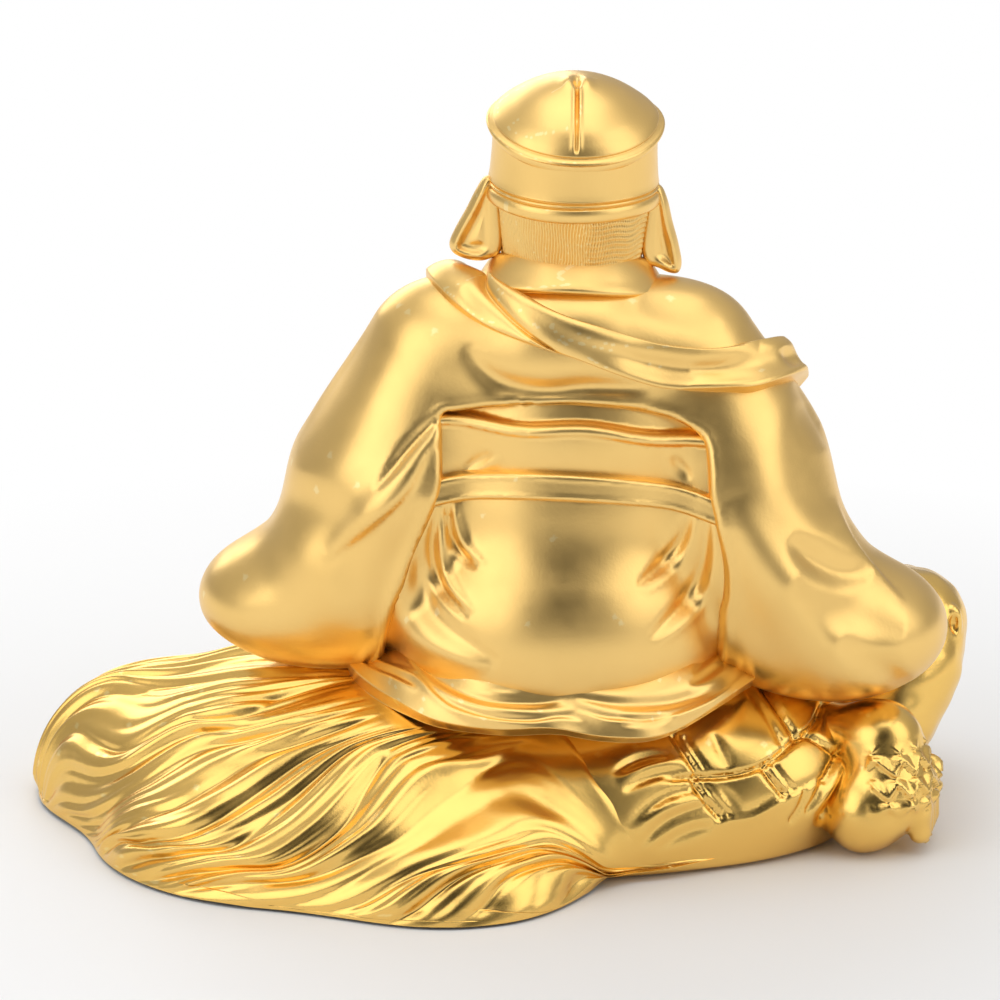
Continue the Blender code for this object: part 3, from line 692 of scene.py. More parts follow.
SHELL_STROKES_FRONT = (
    # the rows of scutes and the seams between them, seen from the front as (x, z)
    ("seam", 0.5, 0.8, ((18, 10), (4, 11.5), (-12, 12.5), (-26, 12), (-38, 9))),
    ("seam", 0.5, 0.8, ((18, 5.2), (4, 5.8), (-12, 6.4), (-28, 6), (-40, 4.5))),
    ("seam", 0.5, 0.8, ((10, 26), (8, 18), (7, 11.6), (8, 5.4))),
    ("seam", 0.5, 0.8, ((-4, 27), (-5, 18), (-5.5, 12), (-4.5, 6))),
    ("seam", 0.5, 0.8, ((-17, 26), (-18, 19), (-19, 12.4), (-17.5, 6.2))),
    ("seam", 0.5, 0.8, ((-29, 22), (-30, 16), (-31, 11.2), (-30, 5.6))),
    ("groove", 1.2, 0.4, ((1, 24), (1, 18), (1.5, 14))),
    ("groove", 1.2, 0.4, ((-11, 24), (-11.5, 18), (-12, 15))),
    ("groove", 1.2, 0.4, ((-23, 22), (-24, 18), (-25, 14.5))),
)


def shell_heights(p, out):
    total = carved_behind(p, out, SHELL_STROKES_BEHIND)
    front = facing(out, (0, -1, 0.35), 0.4) * ease((2 - p[:, 1]) / 8)
    return total + front * carve(p[:, (0, 2)], SHELL_STROKES_FRONT) + 0.10 * ripple(p, 9.0, 9)


# Guide lines of the weed on the ground plane, each from the root to a tip, in order from the front
# of the tail round its end to the near edge
WEED = (
    ((0, -26), (18, -30), (38, -32), (54, -35), (66, -33)),
    ((0, -22), (20, -25), (40, -27), (56, -29), (70, -27)),
    ((2, -17), (22, -19), (42, -21), (58, -23), (73, -21)),
    ((6, -10), (24, -11), (42, -14), (58, -17), (75, -16)),
    ((14, -3), (28, -2), (42, -5), (56, -8), (66, -12), (75, -13)),
    ((28, 6), (38, 5), (46, 3.5), (54, 1), (61, -5), (67, -10), (75, -10)),
    ((30, 9), (40, 9.5), (50, 9), (58, 6), (64, 0), (69, -5), (75, -5)),
    ((25, 14), (37, 15), (49, 15), (58, 12), (65, 6), (70, 1), (74, 0)),
    ((21, 17), (33, 20), (45, 21.5), (54, 20), (62, 14), (68, 9), (72, 8)),
    ((15, 19), (28, 23), (40, 26.5), (49, 27), (56, 23), (61, 18), (66, 16)),
    ((4, 20), (14, 22), (22, 25), (30, 29), (39, 31.5), (47, 30), (55, 27)),
    ((-5, 22), (6, 25), (14, 29.5), (24, 33), (33, 34), (42, 33), (48, 32)),
    ((-6, 25), (3, 29.5), (9, 34), (16, 37), (25, 38), (34, 38)),
    ((-12, 23.5), (-4, 27), (2, 31), (7, 35), (14, 39), (20, 42)),
    ((-14, 23), (-8, 25.5), (-3, 28.5), (1, 32.5), (5, 39)),
    ((-16, 22), (-12, 23.5), (-9, 25.5), (-7, 28), (-5, 33)),
)


def weed_guides(count):
    """The guide lines, from under the robe to just past the foot of the tail."""
    under_robe, past_tip, past_foot = 8.0, 12.0, 3.0
    fine, middle = 500, 250
    lines = []
    for line in WEED:
        line = smooth_path(line, 40)
        back, on = line[0] - line[2], line[-1] - line[-3]
        first = line[0] + back / length(back) * under_robe
        last = line[-1] + on / length(on) * past_tip
        line = smooth_path(np.vstack((first, line, last)), fine)
        # a line that runs beside the foot is cut where it has gone further off than at its middle
        foot = foot_gap(line)
        limit = max(past_foot, foot[middle] + past_foot)
        past = np.nonzero((foot > limit) & (np.arange(fine) > middle))[0]
        line = line[: past[0] + 1] if len(past) else line
        runs = np.concatenate(([0], np.cumsum(length(np.diff(line, axis=0)))))
        at = np.linspace(0, runs[-1], count)
        lines.append(np.column_stack([np.interp(at, runs, line[:, k]) for k in (0, 1)]))
    return np.array(lines)


def strands(across, along, count, seed, sharp):
    """Strands with sharp valleys between them, from 0 to 1, that sway, swell and overlap."""
    random = np.random.default_rng(seed)
    place = across * count + 0.30 * np.sin(across * count * 0.83 + seed)
    for k in range(1, 5):
        turn = random.uniform(3, 9)
        place = place + random.uniform(0.10, 0.30) * np.sin(along * turn + across * 0.7 * k + k * k)
    strand = np.floor(place)
    off = place - strand - 0.5
    wave = np.sin(strand * 12.9898 + seed) * 43758.5453
    chance = wave - np.floor(wave)
    swell = 0.5 + 0.5 * np.sin(along * (4 + 5 * chance) + 6.28 * chance)
    round_top = np.maximum(1 - 4 * off * off, 0.0) ** sharp * (0.8 + 0.5 * off)
    return round_top * (0.45 + 0.55 * swell)


def make_tail():
    """A sheet of strands from under the robe down to the floor all round the tail."""
    rows, columns_per_gap = 200, 32
    guides = weed_guides(rows)
    gaps = len(guides) - 1
    columns = gaps * columns_per_gap + 1
    flat = smooth_path(guides.reshape(gaps + 1, -1), columns).reshape(-1, 2)
    across, along = np.meshgrid(np.linspace(0, gaps, columns), np.linspace(0, 1, rows), indexing="ij")
    across, along = across.ravel(), along.ravel()
    # each point starts near its height on the tail, and is then moved onto it
    foot = foot_gap(flat)
    outer_height = 17.0 * (1 - ease((foot + 9) / 12.5)) + LOWEST
    inner = ease((-foot - 4) / 6)
    p = np.column_stack((flat, outer_height * (1 - inner) + 24 * inner))
    p = snap(mount_field, p, steps=12)
    _, out = slope(mount_field, p)
    # thick clumps, locks on them and threads on the locks
    clump = strands(across, along, 1.35, 3, 0.7)
    lock = strands(across + 0.13, along, 3.1, 5, 0.6)
    thread = strands(across, along, 7.5, 8, 0.8)
    height = 2.0 * (clump - 0.5) + 0.75 * (lock - 0.45) + 0.16 * (thread - 0.5)
    # strands start near the robe, and further out in the middle of the fan
    begin = 0.04 + 0.20 * bell(across - 9.3, 2.6)
    show = ease((along - begin) / 0.26) * ease((p[:, 2] - 0.2) / 2.5)
    rest = 0.9 * ease(along / 0.12) * ease((gaps - across) / 1.2) - 0.8
    lift = (show * height + rest).reshape(columns, rows)
    for _ in range(3):
        lift[1:-1] = (lift[:-2] + 2 * lift[1:-1] + lift[2:]) / 4
        lift[:, 1:-1] = (lift[:, :-2] + 2 * lift[:, 1:-1] + lift[:, 2:]) / 4
    p = p + out * lift.reshape(-1, 1)
    # nothing goes below the floor, and the front edge comes down to it
    p[:, 2] = LOWEST + np.maximum(p[:, 2] - LOWEST, 0) * ease(across / 0.5)
    quads = sheet_quads(columns, rows)
    add_piece("seaweed_tail_casting", p, quads[:, ::-1], "bright_gold", "seaweed_tail")


def make_turtle_shell():
    cast("carapace", shell_field, ((-42, -34, -1), (31, 28, 27)), 0.8, "bright_gold", shell_heights)


# --- pieces laid on a surface: hem and scarf ------------------------------------------------------


def laid(field, upper_edge, lower_edge, height, rows, columns, bury=0.7):
    """A thick strip that lies on a field, between two paths of points.

    height(along, across) is how far its outer face stands proud. The strip is closed underneath.
    """
    upper_edge, lower_edge = smooth_path(upper_edge, rows), smooth_path(lower_edge, rows)
    along = np.linspace(0, 1, rows)
    across = 0.5 - 0.5 * np.cos(np.linspace(0, math.pi, columns))
    s, t = np.meshgrid(along, across, indexing="ij")
    p = upper_edge[:, None] * (1 - t[..., None]) + lower_edge[:, None] * t[..., None]
    p = snap(field, p.reshape(-1, 3), 0.0, 5)
    _, out = slope(field, p)
    top = p + out * height(s.ravel(), t.ravel())[:, None]
    below = p - out * bury
    ring = np.concatenate(
        (top.reshape(rows, columns, 3), below.reshape(rows, columns, 3)[:, ::-1][:, ::4]), axis=1
    )
    columns = ring.shape[1]
    quads = sheet_quads(rows, columns, loop_columns=True)
    ends = [np.arange(columns)[None, :], ((rows - 1) * columns + np.arange(columns))[None, ::-1]]
    return ring.reshape(-1, 3), [quads, *ends]


def hem_bed(p):
    """The mound under the hem, from the foot of the drape down to the shell."""
    return lower(mount_field(p), ball(p, (2, 4, 15.5), (29.5, 22.5, 15.5)), 2.5)


# The upper and lower edges of the hem on the view plane
HEM_INNER = (
    (-17.6, -17.1), (-15.8, -15.5), (-13.9, -15.4), (-11.8, -18.4), (-7.9, -21), (-3.9, -22.6),
    (0, -23.4), (7.9, -23.9), (13.2, -23.7), (18.4, -22.6), (23.7, -20.4), (27.9, -17.9),
    (30.9, -18.4),
)
HEM_OUTER = (
    (-20.5, -20), (-20.1, -22.1), (-17.6, -24.7), (-13.2, -27.4), (-7.9, -29.7), (0, -30.8),
    (7.2, -30.6), (13.2, -31.6), (19.1, -31.8), (23.7, -30.4), (29.6, -26.7), (35, -22.9),
)
HEM_STROKES = (
    (
        "fold", 1.1, 1.0,
        (
            (11.2, -29.1), (7.9, -28.7), (3.9, -29.2), (-1.3, -28.8), (-5.9, -27.4),
            (-8.4, -25.6), (-10, -23.9), (-11.6, -22.6), (-15.1, -21.3), (-19.2, -19.7),
        ),
    ),
    ("fold", 1.0, 0.8, ((-10.5, -25), (-13.8, -23.4), (-16.8, -22.1), (-19.5, -20))),
    ("groove", 0.8, 0.7, ((-11.6, -20.4), (-7.9, -23.9), (-2.6, -26), (3.9, -26.7), (8.2, -26.3))),
    ("groove", 0.8, 0.6, ((-13.2, -18.4), (-9.2, -22.1), (-3.9, -24.2), (2.6, -25.1))),
    ("ridge", 1.0, 0.6, ((-12.5, -21), (-8.4, -24.7), (-2.6, -27.4), (3.9, -28), (9.9, -27.5))),
    ("ridge", 0.9, 0.5, ((-13.4, -17.4), (-9.9, -21), (-3.9, -23.7), (3.9, -24.7), (11.2, -25.4))),
    ("fold", 1.2, 0.8, ((31.6, -23.4), (27, -26.7), (21, -28.8), (14.5, -28.9), (9.9, -27.6))),
    ("groove", 0.9, 0.7, ((30.9, -22.1), (27, -25), (22.1, -26.6), (15.8, -26.7), (9.9, -25.9))),
    ("groove", 0.8, 0.6, ((30.3, -20.5), (27.1, -22.9), (25, -24.2))),
    ("groove", 0.8, 0.6, ((29.2, -19.2), (27, -21), (25.5, -22.9))),
    ("ridge", 1.1, 0.6, ((32.6, -22.9), (27.9, -26.3), (22.6, -28), (15.8, -28.1))),
    ("ridge", 0.8, 0.4, ((31.8, -21.4), (28.3, -24.2), (25, -25.5))),
    ("groove", 0.6, 0.5, ((15.8, -29.7), (19.1, -29.2), (23, -28.7))),
)


def hem_height(s, t):
    """Thickest at the lower edge, with a slow wave."""
    edge = ease(np.minimum(t / 0.06, (1 - t) / 0.05))
    wave = 0.3 * np.sin(17 * s + 2.5 * t) + 0.25 * np.sin(31 * s - 3 * t + 1)
    return -0.4 + edge * (2.3 + 0.5 * t + wave * ease(t / 0.4))


def make_hem():
    inner = land(hem_bed, smooth_path(HEM_INNER, 40), 1.0)
    outer = land(hem_bed, smooth_path(HEM_OUTER, 40), 1.0)
    p, faces = laid(hem_bed, inner, outer, hem_height, 300, 70)
    p = displaced(hem_bed, p, partial(carved_behind, strokes=HEM_STROKES))
    add_piece("robe_hem_casting", p, faces, "satin_gold", "robe_hem")


# The scarf's edges: over the left shoulder as (x, y, z), then behind on the view plane, then the end
SCARF_UPPER_BEHIND = (
    (-1.6, 29.1), (0, 28), (3.6, 26.4), (8.3, 24.1), (14.9, 22.2), (21.4, 20.6), (28, 20.1),
    (32.9, 20.9),
)
SCARF_LOWER_BEHIND = (
    (-8.4, 27.6), (-6.6, 25.8), (-3.9, 23.7), (0, 21.7), (5.3, 19.9), (10.5, 18.3), (15.8, 16.3),
    (21.4, 14.7), (28, 14.1), (33.8, 14.2),
)
SCARF_UPPER = ((8, -16, 60), (10.5, -12, 68), (13.2, -5, 74), (14.0, 0.5, 75))
SCARF_UPPER_END = ((-24.8, 1, 65.0), (-28.6, -3.5, 63.4))
SCARF_LOWER = ((17, -15, 56), (19, -10, 64), (19.0, -4, 70.5), (18.7, 1.0, 72))
SCARF_LOWER_END = ((-28.4, 1, 60.5), (-32.4, -4.5, 60.5))


def scarf_height(s, t):
    """Two rolls either side of a crease that starts at the upper edge, then one hollow strip."""
    edge = ease(np.minimum(t / 0.08, (1 - t) / 0.06))
    crease = smooth_values((0.0, 0.0, 0.0, 0.34, 0.62, 0.98, 1.2, 1.2, 1.2, 1.2), s)
    above = np.clip(t / np.maximum(crease, 0.05), 0, 1)
    below = np.clip((t - crease) / np.maximum(1 - crease, 0.05), 0, 1)
    over = 1.3 + 0.9 * np.sin(math.pi * above**0.8) ** 0.8
    under = 0.7 + 1.0 * np.sin(math.pi * below) ** 0.7
    soft = 0.5 - 0.5 * np.tanh((t - crease) / 0.02)
    folded = over * soft + under * (1 - soft)
    dip = 0.7 * ease((0.92 - s) / 0.15)
    hollow = 1.9 - dip * bell(t - 0.5, 0.2) + 0.3 * bell(t - 0.88, 0.1)
    late = ease((s - 0.58) / 0.14)
    end = ease((1 - s) / 0.03) * ease(s / 0.02)
    return -0.4 + edge * (0.4 + (folded * (1 - late) + hollow * late)) * (0.2 + 0.8 * end)


SCARF_STROKES = (
    ("groove", 1.5, 0.6, ((-5, 28.1), (-2.6, 25.3), (0.8, 22.6), (3.9, 21.3))),
    ("groove", 1.6, 0.4, ((2.6, 25.6), (7.9, 22), (13.2, 19.7), (19.7, 17.8))),
    ("groove", 1.5, 0.5, ((25, 17.4), (30.9, 17.4), (36.8, 18.7))),
    ("groove", 0.6, 0.7, ((36.6, 19.7), (37.9, 18.8), (39.2, 17.6))),
    ("ridge", 1.6, 0.9, ((34.2, 20.3), (37.6, 20.3), (39.7, 19.1), (41, 16.8))),
)


def make_scarf():
    edges = []
    for start, behind, end in (
        (SCARF_UPPER, SCARF_UPPER_BEHIND, SCARF_UPPER_END),
        (SCARF_LOWER, SCARF_LOWER_BEHIND, SCARF_LOWER_END),
    ):
        edges.append(np.vstack((start, land(robe_body, smooth_path(behind, 14)), end)))
    p, faces = laid(robe_body, *edges, scarf_height, 340, 64, bury=0.5)
    p = displaced(robe_body, p, partial(carved_behind, strokes=SCARF_STROKES))
    add_piece("shoulder_scarf_casting", p, faces, "satin_gold", "shoulder_scarf")


# --- head, cap and collar, in the frame of the head -----------------------------------------------

SKULL = (
    ((0, -0.5, 9.5), (9.6, 10.2, 10)),
    ((0, -3.5, 2), (8.4, 8.6, 8)),
    ((0, 1.5, -2), (7.2, 7, 7)),
)
CHEEKS = [((side * 4.6, -8.4, 1.6), (3.4, 3.2, 3.4)) for side in (1, -1)]
UPPER_LIP = ((0.0, -12.3, 0.35, 0.55), (1.2, -12.2, 0.5, 0.5), (2.6, -11.2, 0.15, 0.3))
LOWER_LIP = ((0.0, -12.0, -0.75, 0.65), (1.3, -11.8, -0.65, 0.55), (2.4, -11.1, -0.05, 0.3))
LEFT_EAR = (
    (9.6, 11.9), (11.4, 12.0), (12.6, 10.2), (13.8, 7.6), (15.3, 4.6), (15.9, 2.7), (15.2, 1.4),
    (13, 0.7), (10.6, 1.0), (8.9, 3.0),
)
RIGHT_EAR = (
    (-9.6, 11.4), (-11.2, 11.4), (-12.2, 9.6), (-13.0, 6.6), (-13.9, 3.6), (-14.4, 0.9),
    (-13.7, -0.4), (-11.6, 0.2), (-9.0, 2.4),
)
EAR_SHAPES = [smooth_path((*ear, ear[0]), 60)[:-1] for ear in (LEFT_EAR, RIGHT_EAR)]


def face_field(p):
    head = balls(p, SKULL, 3.0)
    head = lower(head, balls(p, CHEEKS, 1.0), 2.4)
    head = lower(head, ball(p, (0, -10.3, -3.7), (2.9, 2.3, 2.2)), 1.8)
    mirrored = np.column_stack((np.abs(p[:, 0]), p[:, 1], p[:, 2]))
    brow = limb(mirrored, ((0.9, -11.3, 7.9, 0.7), (3.4, -10.9, 8.7, 0.8), (6.3, -8.7, 8.0, 0.7)), 0.6)
    head = lower(head, brow, 1.4)
    head = upper(head, -ball(mirrored, (3.5, -12.5, 6.2), (2.6, 2.2, 1.5)), 1.3)
    head = lower(head, ball(mirrored, (3.5, -9.5, 5.7), (2.3, 1.9, 1.5)), 0.5)
    nose = limb(p, ((0, -11.2, 7.3, 0.75), (0, -12.6, 4.8, 0.95), (0, -13.4, 3.3, 1.25)), 0.8)
    head = lower(head, lower(nose, ball(mirrored, (1.35, -12.3, 2.9), (0.9, 1.1, 0.8)), 0.5), 0.9)
    lips = np.minimum(limb(mirrored, UPPER_LIP, 0.4), limb(mirrored, LOWER_LIP, 0.4))
    return lower(head, lips, 0.45)


def ear_field(p):
    """Both ears: flat plates with a raised rim on the side away from the head."""
    found = np.full(len(p), 50.0)
    for shape in EAR_SHAPES:
        near = np.sign(shape[0, 0]) * p[:, 0] > 5
        flat = outline_gap(p[near][:, (0, 2)], shape)
        reach = np.abs(p[near][:, 0])
        depth = p[near][:, 1] - 1.4 + 0.22 * (reach - 10)
        outer_side = ease((reach - 10.4) / 1.5)
        rim = (0.55 * bell(flat + 0.9, 0.5) - 0.35 * bell(flat + 2.1, 0.6)) * outer_side
        found[near] = np.minimum(found[near], upper(flat + 0.1, np.abs(depth) - 0.95 - rim, 1.0))
    return found


# The closed lids, the line over each eye and the fold beside the mouth, the same on both sides
FACE_PAIRS = (
    ("seam", 0.22, 0.38, ((1.7, 5.3), (2.6, 4.85), (3.6, 4.75), (4.7, 5.0), (5.6, 5.6))),
    ("seam", 0.25, 0.25, ((1.5, 6.6), (3.5, 7.3), (5.7, 6.5))),
    ("groove", 0.6, 0.2, ((2.1, 3.4), (3.2, 2.2), (3.7, 0.6))),
)
FACE_STROKES = [
    ("seam", 0.24, 0.4, ((-2.7, 0.15), (-1.3, -0.15), (0, -0.2), (1.3, -0.15), (2.7, 0.15))),
    ("groove", 0.45, 0.2, ((0, 2.3), (0, 1.6), (0, 1.0))),
]
for kind, width, height, points in FACE_PAIRS:
    for side in (1, -1):
        FACE_STROKES.append((kind, width, height, [(side * x, z) for x, z in points]))


def make_head():
    p, quads = sculpt(face_field, (-11.5, -15.5, -8.5), (11.5, 11, 21), 0.5, relax=2)
    p = displaced(
        face_field,
        p,
        lambda q, out: facing(out, (0, -1, 0), 0.5) * carve(q[:, (0, 2)], FACE_STROKES),
    )
    add_piece("head_casting", head_to_figure(p), quads, "satin_gold", "head")
    for name, low, high in (("left", 8.5, 17.5), ("right", -16.5, -8.5)):
        p, quads = sculpt(ear_field, (low, -3, -2), (high, 5, 13.5), 0.4)
        add_piece(f"{name}_ear", head_to_figure(p), quads, "satin_gold", "head")


def triangle_wave(phase):
    """1 at whole numbers, falling evenly to 0 between them."""
    return np.abs((phase % 1.0) - 0.5) * 2


def make_nape_hair():
    """The cropped hair below the cap, combed straight down and crossed on one side."""
    rows, columns = 90, 420
    z = np.linspace(10.6, 0.6, rows)
    angle = np.radians(np.linspace(-8, 188, columns))
    z, angle = (a.ravel() for a in np.meshgrid(z, angle, indexing="ij"))
    combed = 0.5 + 0.5 * np.cos(angle * 15.6 + 0.35 * np.sin(z * 1.3 + angle * 5))
    comb = triangle_wave(angle * 26 + 0.25 * np.sin(z * 1.1 + angle * 9))
    cross = triangle_wave(z * 1.45 + 0.2 * np.sin(angle * 11))
    on_right = ease((angle - 1.5) / 0.5)
    relief = 0.30 * comb**0.7 + 0.14 * on_right * cross + 0.05 * combed
    tooth = ease((z - 0.9 - 0.5 * np.floor(2 * comb + 0.5)) / 0.35)
    radius = 9.75 + relief * (0.35 + 0.65 * tooth) - 0.35 * (1 - tooth)
    way = np.column_stack((np.cos(angle), np.sin(angle), np.zeros_like(angle)))
    p = way * radius[:, None] * np.array((1.0, 1.03, 1)) + np.column_stack((0 * z, 0 * z - 0.4, z))
    p[:, :2] *= (1 - 0.012 * np.maximum(9 - z, 0))[:, None]
    quads = sheet_quads(rows, columns)[:, ::-1]
    add_piece("nape_hair", head_to_figure(p), quads, "satin_gold", "head")


def turned(profile, count, rows):
    """(points, quads, angle) of a profile turned about Z. The profile's points are (radius, height)."""
    curve = smooth_path(profile, rows)
    angle = np.linspace(0, 2 * math.pi, count, endpoint=False)
    a, k = np.meshgrid(angle, np.arange(rows), indexing="ij")
    r, z = curve[k.ravel(), 0], curve[k.ravel(), 1]
    a = a.ravel()
    p = np.column_stack((r * np.cos(a), r * np.sin(a), z))
    return p, sheet_quads(count, rows, loop_rows=True), a


def tipped(p, degrees, place):
    """Turned about X and then moved."""
    c, s = math.cos(math.radians(degrees)), math.sin(math.radians(degrees))
    y, z = p[:, 1] * c - p[:, 2] * s, p[:, 1] * s + p[:, 2] * c
    return np.column_stack((p[:, 0], y, z)) + np.array(place)


CROWN = (
    (0.02, 6.4), (1.5, 6.35), (3.5, 5.9), (6, 4.9), (8.2, 3.6), (9.7, 2.3), (10.5, 1.4),
    (10.9, 0.8), (11.35, 0.3), (11.45, -0.4), (11.2, -1.1), (10.3, -1.5), (9, -1.5), (0.02, -1.5),
)
BAND = (
    (0.02, 20.5), (9.6, 20.5), (10.5, 20), (10.55, 18.5), (10.6, 17), (10.65, 15.5), (10.75, 14),
    (10.85, 12.8), (10.95, 12.1), (10.98, 11.85), (10.7, 11.65), (11.0, 11.45), (11.05, 11.25),
    (10.8, 11.05), (11.15, 10.8), (11.35, 10.2), (11.3, 9.5), (11.0, 9.15), (10.2, 9.0),
    (9.2, 9.1),
)
COLLAR = (
    (8.4, 2.4), (9.2, 3.0), (9.9, 2.95), (10.5, 2.3), (11.2, 1.3), (11.9, 0.2), (12.5, -0.7),
    (12.7, -1.2), (12.4, -1.6), (11.2, -1.7), (9.5, -1.0),
)
CROWN_TILT = -17
CROWN_CENTRE = (0, 0.4, 18.6)


def make_crown():
    """The crown of the cap: a low dome on a rolled rim, slit down the back."""
    p, quads, angle = turned(CROWN, 360, 150)
    radius = length(p[:, :2])
    on_top = ease((p[:, 2] - 0.6) / 0.8)
    behind = np.sin(angle) > 0
    off = np.abs(p[:, 0])
    slit = behind * ease((radius - 1.2) / 1.0) * ease((10.6 - radius) / 0.8) * on_top
    p[:, 2] += slit * (0.16 * bell(off - 0.42, 0.3) - 0.6 * bell(off, 0.17))
    notch = bell(off, 0.45) * bell(p[:, 1] - 0.3, 1.1)
    bumps = bell(off - 1.2, 0.9) * bell(p[:, 1] - 0.2, 1.6)
    p[:, 2] += on_top * (0.4 * bumps - 0.7 * notch)
    groove = bell(p[:, 2] - 0.85, 0.2) * (radius > 9)
    p[:, :2] *= (1 - 0.030 * groove)[:, None]
    # the rim is deepest at the back and thins to blunt tips at the sides
    side = np.cos(angle) ** 2
    p[:, 2] = np.where(p[:, 2] < 0.6, 0.6 + (p[:, 2] - 0.6) * (1 - 0.6 * side), p[:, 2])
    p[:, 2] += 0.5 * side**2 * ease((radius - 8) / 3)
    p = tipped(p, CROWN_TILT, CROWN_CENTRE)
    add_piece("cap_crown_casting", head_to_figure(p), quads, "satin_gold", "cap_crown")


def make_band():
    """The band of the cap: a tall wall that ends inside the crown, two fine grooves and a bead."""
    p, quads, angle = turned(BAND, 300, 130)
    p[:, 2] += 0.10 * np.sin(3 * angle + 1) * ease((13 - p[:, 2]) / 2)
    p = tipped(p, -5.5, (0, -0.9, 0))
    inside_crown = CROWN_CENTRE[2] + 0.3
    fall = math.tan(math.radians(-CROWN_TILT))
    p[:, 2] = np.minimum(p[:, 2], inside_crown - fall * (p[:, 1] - CROWN_CENTRE[1]))
    add_piece("cap_band_casting", head_to_figure(p), quads, "satin_gold", "cap_band")


def make_collar():
    p, quads, angle = turned(COLLAR, 300, 90)
    p = p * np.array((1.0, 0.92, 1.0))
    p[:, 2] += 0.12 * np.sin(2 * angle + 0.5) + 0.06 * np.sin(5 * angle)
    p = tipped(p, 11, (0, -0.2, -1.6))
    add_piece("collar_casting", head_to_figure(p), quads, "satin_gold", "collar")


# --- hands, turtle head and legs ------------------------------------------------------------------


def hand_field(p, wrist, palm, tips, thumb):
    found = limb(p, (wrist, palm), 1.0)
    for knuckle, middle, tip in tips:
        found = lower(found, limb(p, (knuckle, middle, tip), 0.4), 0.35)
    return lower(found, limb(p, thumb, 0.4), 0.4)


def left_hand_field(p):
    tips = []
    for i in range(4):
        knuckle = (1.5, -35.2 + 0.25 * i, 40.2 - 1.7 * i, 1.15)
        middle = (-2.2, -36.6 + 0.2 * i, 39.9 - 1.6 * i, 1.1)
        tips.append((knuckle, middle, (-5.6 + 0.5 * i, -36.4, 39.6 - 1.5 * i, 0.9)))
    thumb = ((4.5, -33.6, 41.0, 1.4), (1.5, -35.4, 42.2, 1.15), (-0.8, -36.2, 42.4, 0.9))
    return hand_field(p, (10, -30, 38.2, 3.3), (3, -34, 38.2, 2.9), tips, thumb)


def right_hand_field(p):
    tips = []
    for i in range(4):
        knuckle = (-2.8, -33.2 - 0.15 * i, 46.8 - 1.6 * i, 1.1)
        middle = (0.8, -34.6 - 0.1 * i, 46.5 - 1.5 * i, 1.05)
        tips.append((knuckle, middle, (3.9 - 0.5 * i, -34.6, 46.2 - 1.45 * i, 0.85)))
    thumb = ((-6, -32.0, 47.2, 1.35), (-3.2, -33.8, 48.4, 1.1), (-1.0, -34.6, 48.7, 0.85))
    return hand_field(p, (-12, -28.5, 43.5, 3.2), (-5, -32.4, 44.4, 2.7), tips, thumb)


TURTLE_NECK = (
    (-30, -8, 11, 8), (-42.0, -9, 12.5, 6.8), (-45.6, -11, 18.5, 6.3), (-46.3, -14.5, 23, 5.9),
    (-45, -20, 23.6, 5.2), (-43.5, -25, 22.2, 3.8),
)


def turtle_head_field(p):
    found = limb(p, TURTLE_NECK, 4.0)
    found = lower(found, ball(p, (-46.3, -14.5, 24.0), (6.3, 6.6, 5.6)), 3.0)
    found = lower(found, limb(p, ((-44, -24, 22.8, 2.6), (-43.2, -28.2, 22.0, 1.6)), 1.0), 1.5)
    ear = ball(p, (-51.2, -9.8, 24.8), (1.4, 1.2, 2.3))
    hollow = ball(p, (-51.4, -8.6, 24.8), (0.7, 0.7, 1.4))
    found = upper(lower(found, ear, 0.6), -hollow, 0.3)
    for x in (-49.6, -41.2):
        found = lower(found, ball(p, (x, -20.5, 26.4), (1.7, 1.9, 1.9)), 0.7)
    return upper(found, 0.6 - p[:, 2], 0.5)


# The mouth, the brow and the rings round the neck, seen from the front as (x, z)
TURTLE_HEAD_STROKES_FRONT = (
    ("seam", 0.35, 0.6, ((-49.5, 22.1), (-46, 20.6), (-43, 20.2), (-39.8, 22))),
    ("groove", 0.8, 0.4, ((-50, 28.4), (-46, 29.8), (-42, 28.2))),
    ("groove", 0.7, 0.4, ((-51, 17.6), (-45, 16.1), (-38, 17.1))),
    ("groove", 0.7, 0.4, ((-51, 14.4), (-45, 12.9), (-38, 13.6))),
    ("groove", 0.7, 0.4, ((-50, 11.1), (-44, 9.8), (-37, 10.4))),
)

LEGS = {
    "right_front_leg": (
        ((-33, 4, 13, 4.8), (-40.2, 8.5, 14, 4.9), (-41, 10.5, 8, 5.4), (-38.0, 12, 5.6, 5.5)),
        ((-43.8, 9.4, 8.2), (-1.0, 0.0, 0.0), (0.22, 0.9, -0.42)),
    ),
    "left_front_leg": (
        ((-30, -24, 14, 6), (-35, -28, 12, 5.2), (-37, -30, 7, 4.8), (-38, -31, 4.6, 4.2)),
        ((-40.5, -31, 6.0), (-0.95, -0.2, 0.0), (0.2, -0.9, 0.0)),
    ),
    "left_rear_leg": (
        ((4, -26, 12, 6), (8, -31, 8, 5), (9.5, -33, 4.8, 4.4)),
        ((12.0, -33.5, 5.6), (0.9, -0.3, 0.0), (0.3, 0.85, 0.0)),
    ),
}


def leg_field(p, name):
    """A leg with four toes in a row, each with a claw."""
    rods, (root, ahead, across) = LEGS[name]
    found = limb(p, rods, 3.0)
    root, ahead, across = (np.array(v, float) for v in (root, ahead, across))
    for i in range(4):
        start = root + across * (i - 1.5) * 2.7
        bend = start + ahead * 1.8 + np.array((0, 0, -0.6))
        end = bend + ahead * 0.5 + np.array((0, 0, min(3.0 - bend[2], -0.6)))
        toe = limb(p, ((*start, 2.1), (*bend, 1.9), (*end, 1.5)), 0.8)
        found = lower(found, toe, 0.5)
        claw = limb(p, ((*end, 1.0), (*(end + ahead * 1.0 + np.array((0, 0, -1.3))), 0.4)), 0.3)
        found = lower(found, claw, 0.2)
    return upper(found, LOWEST - p[:, 2], 0.3)


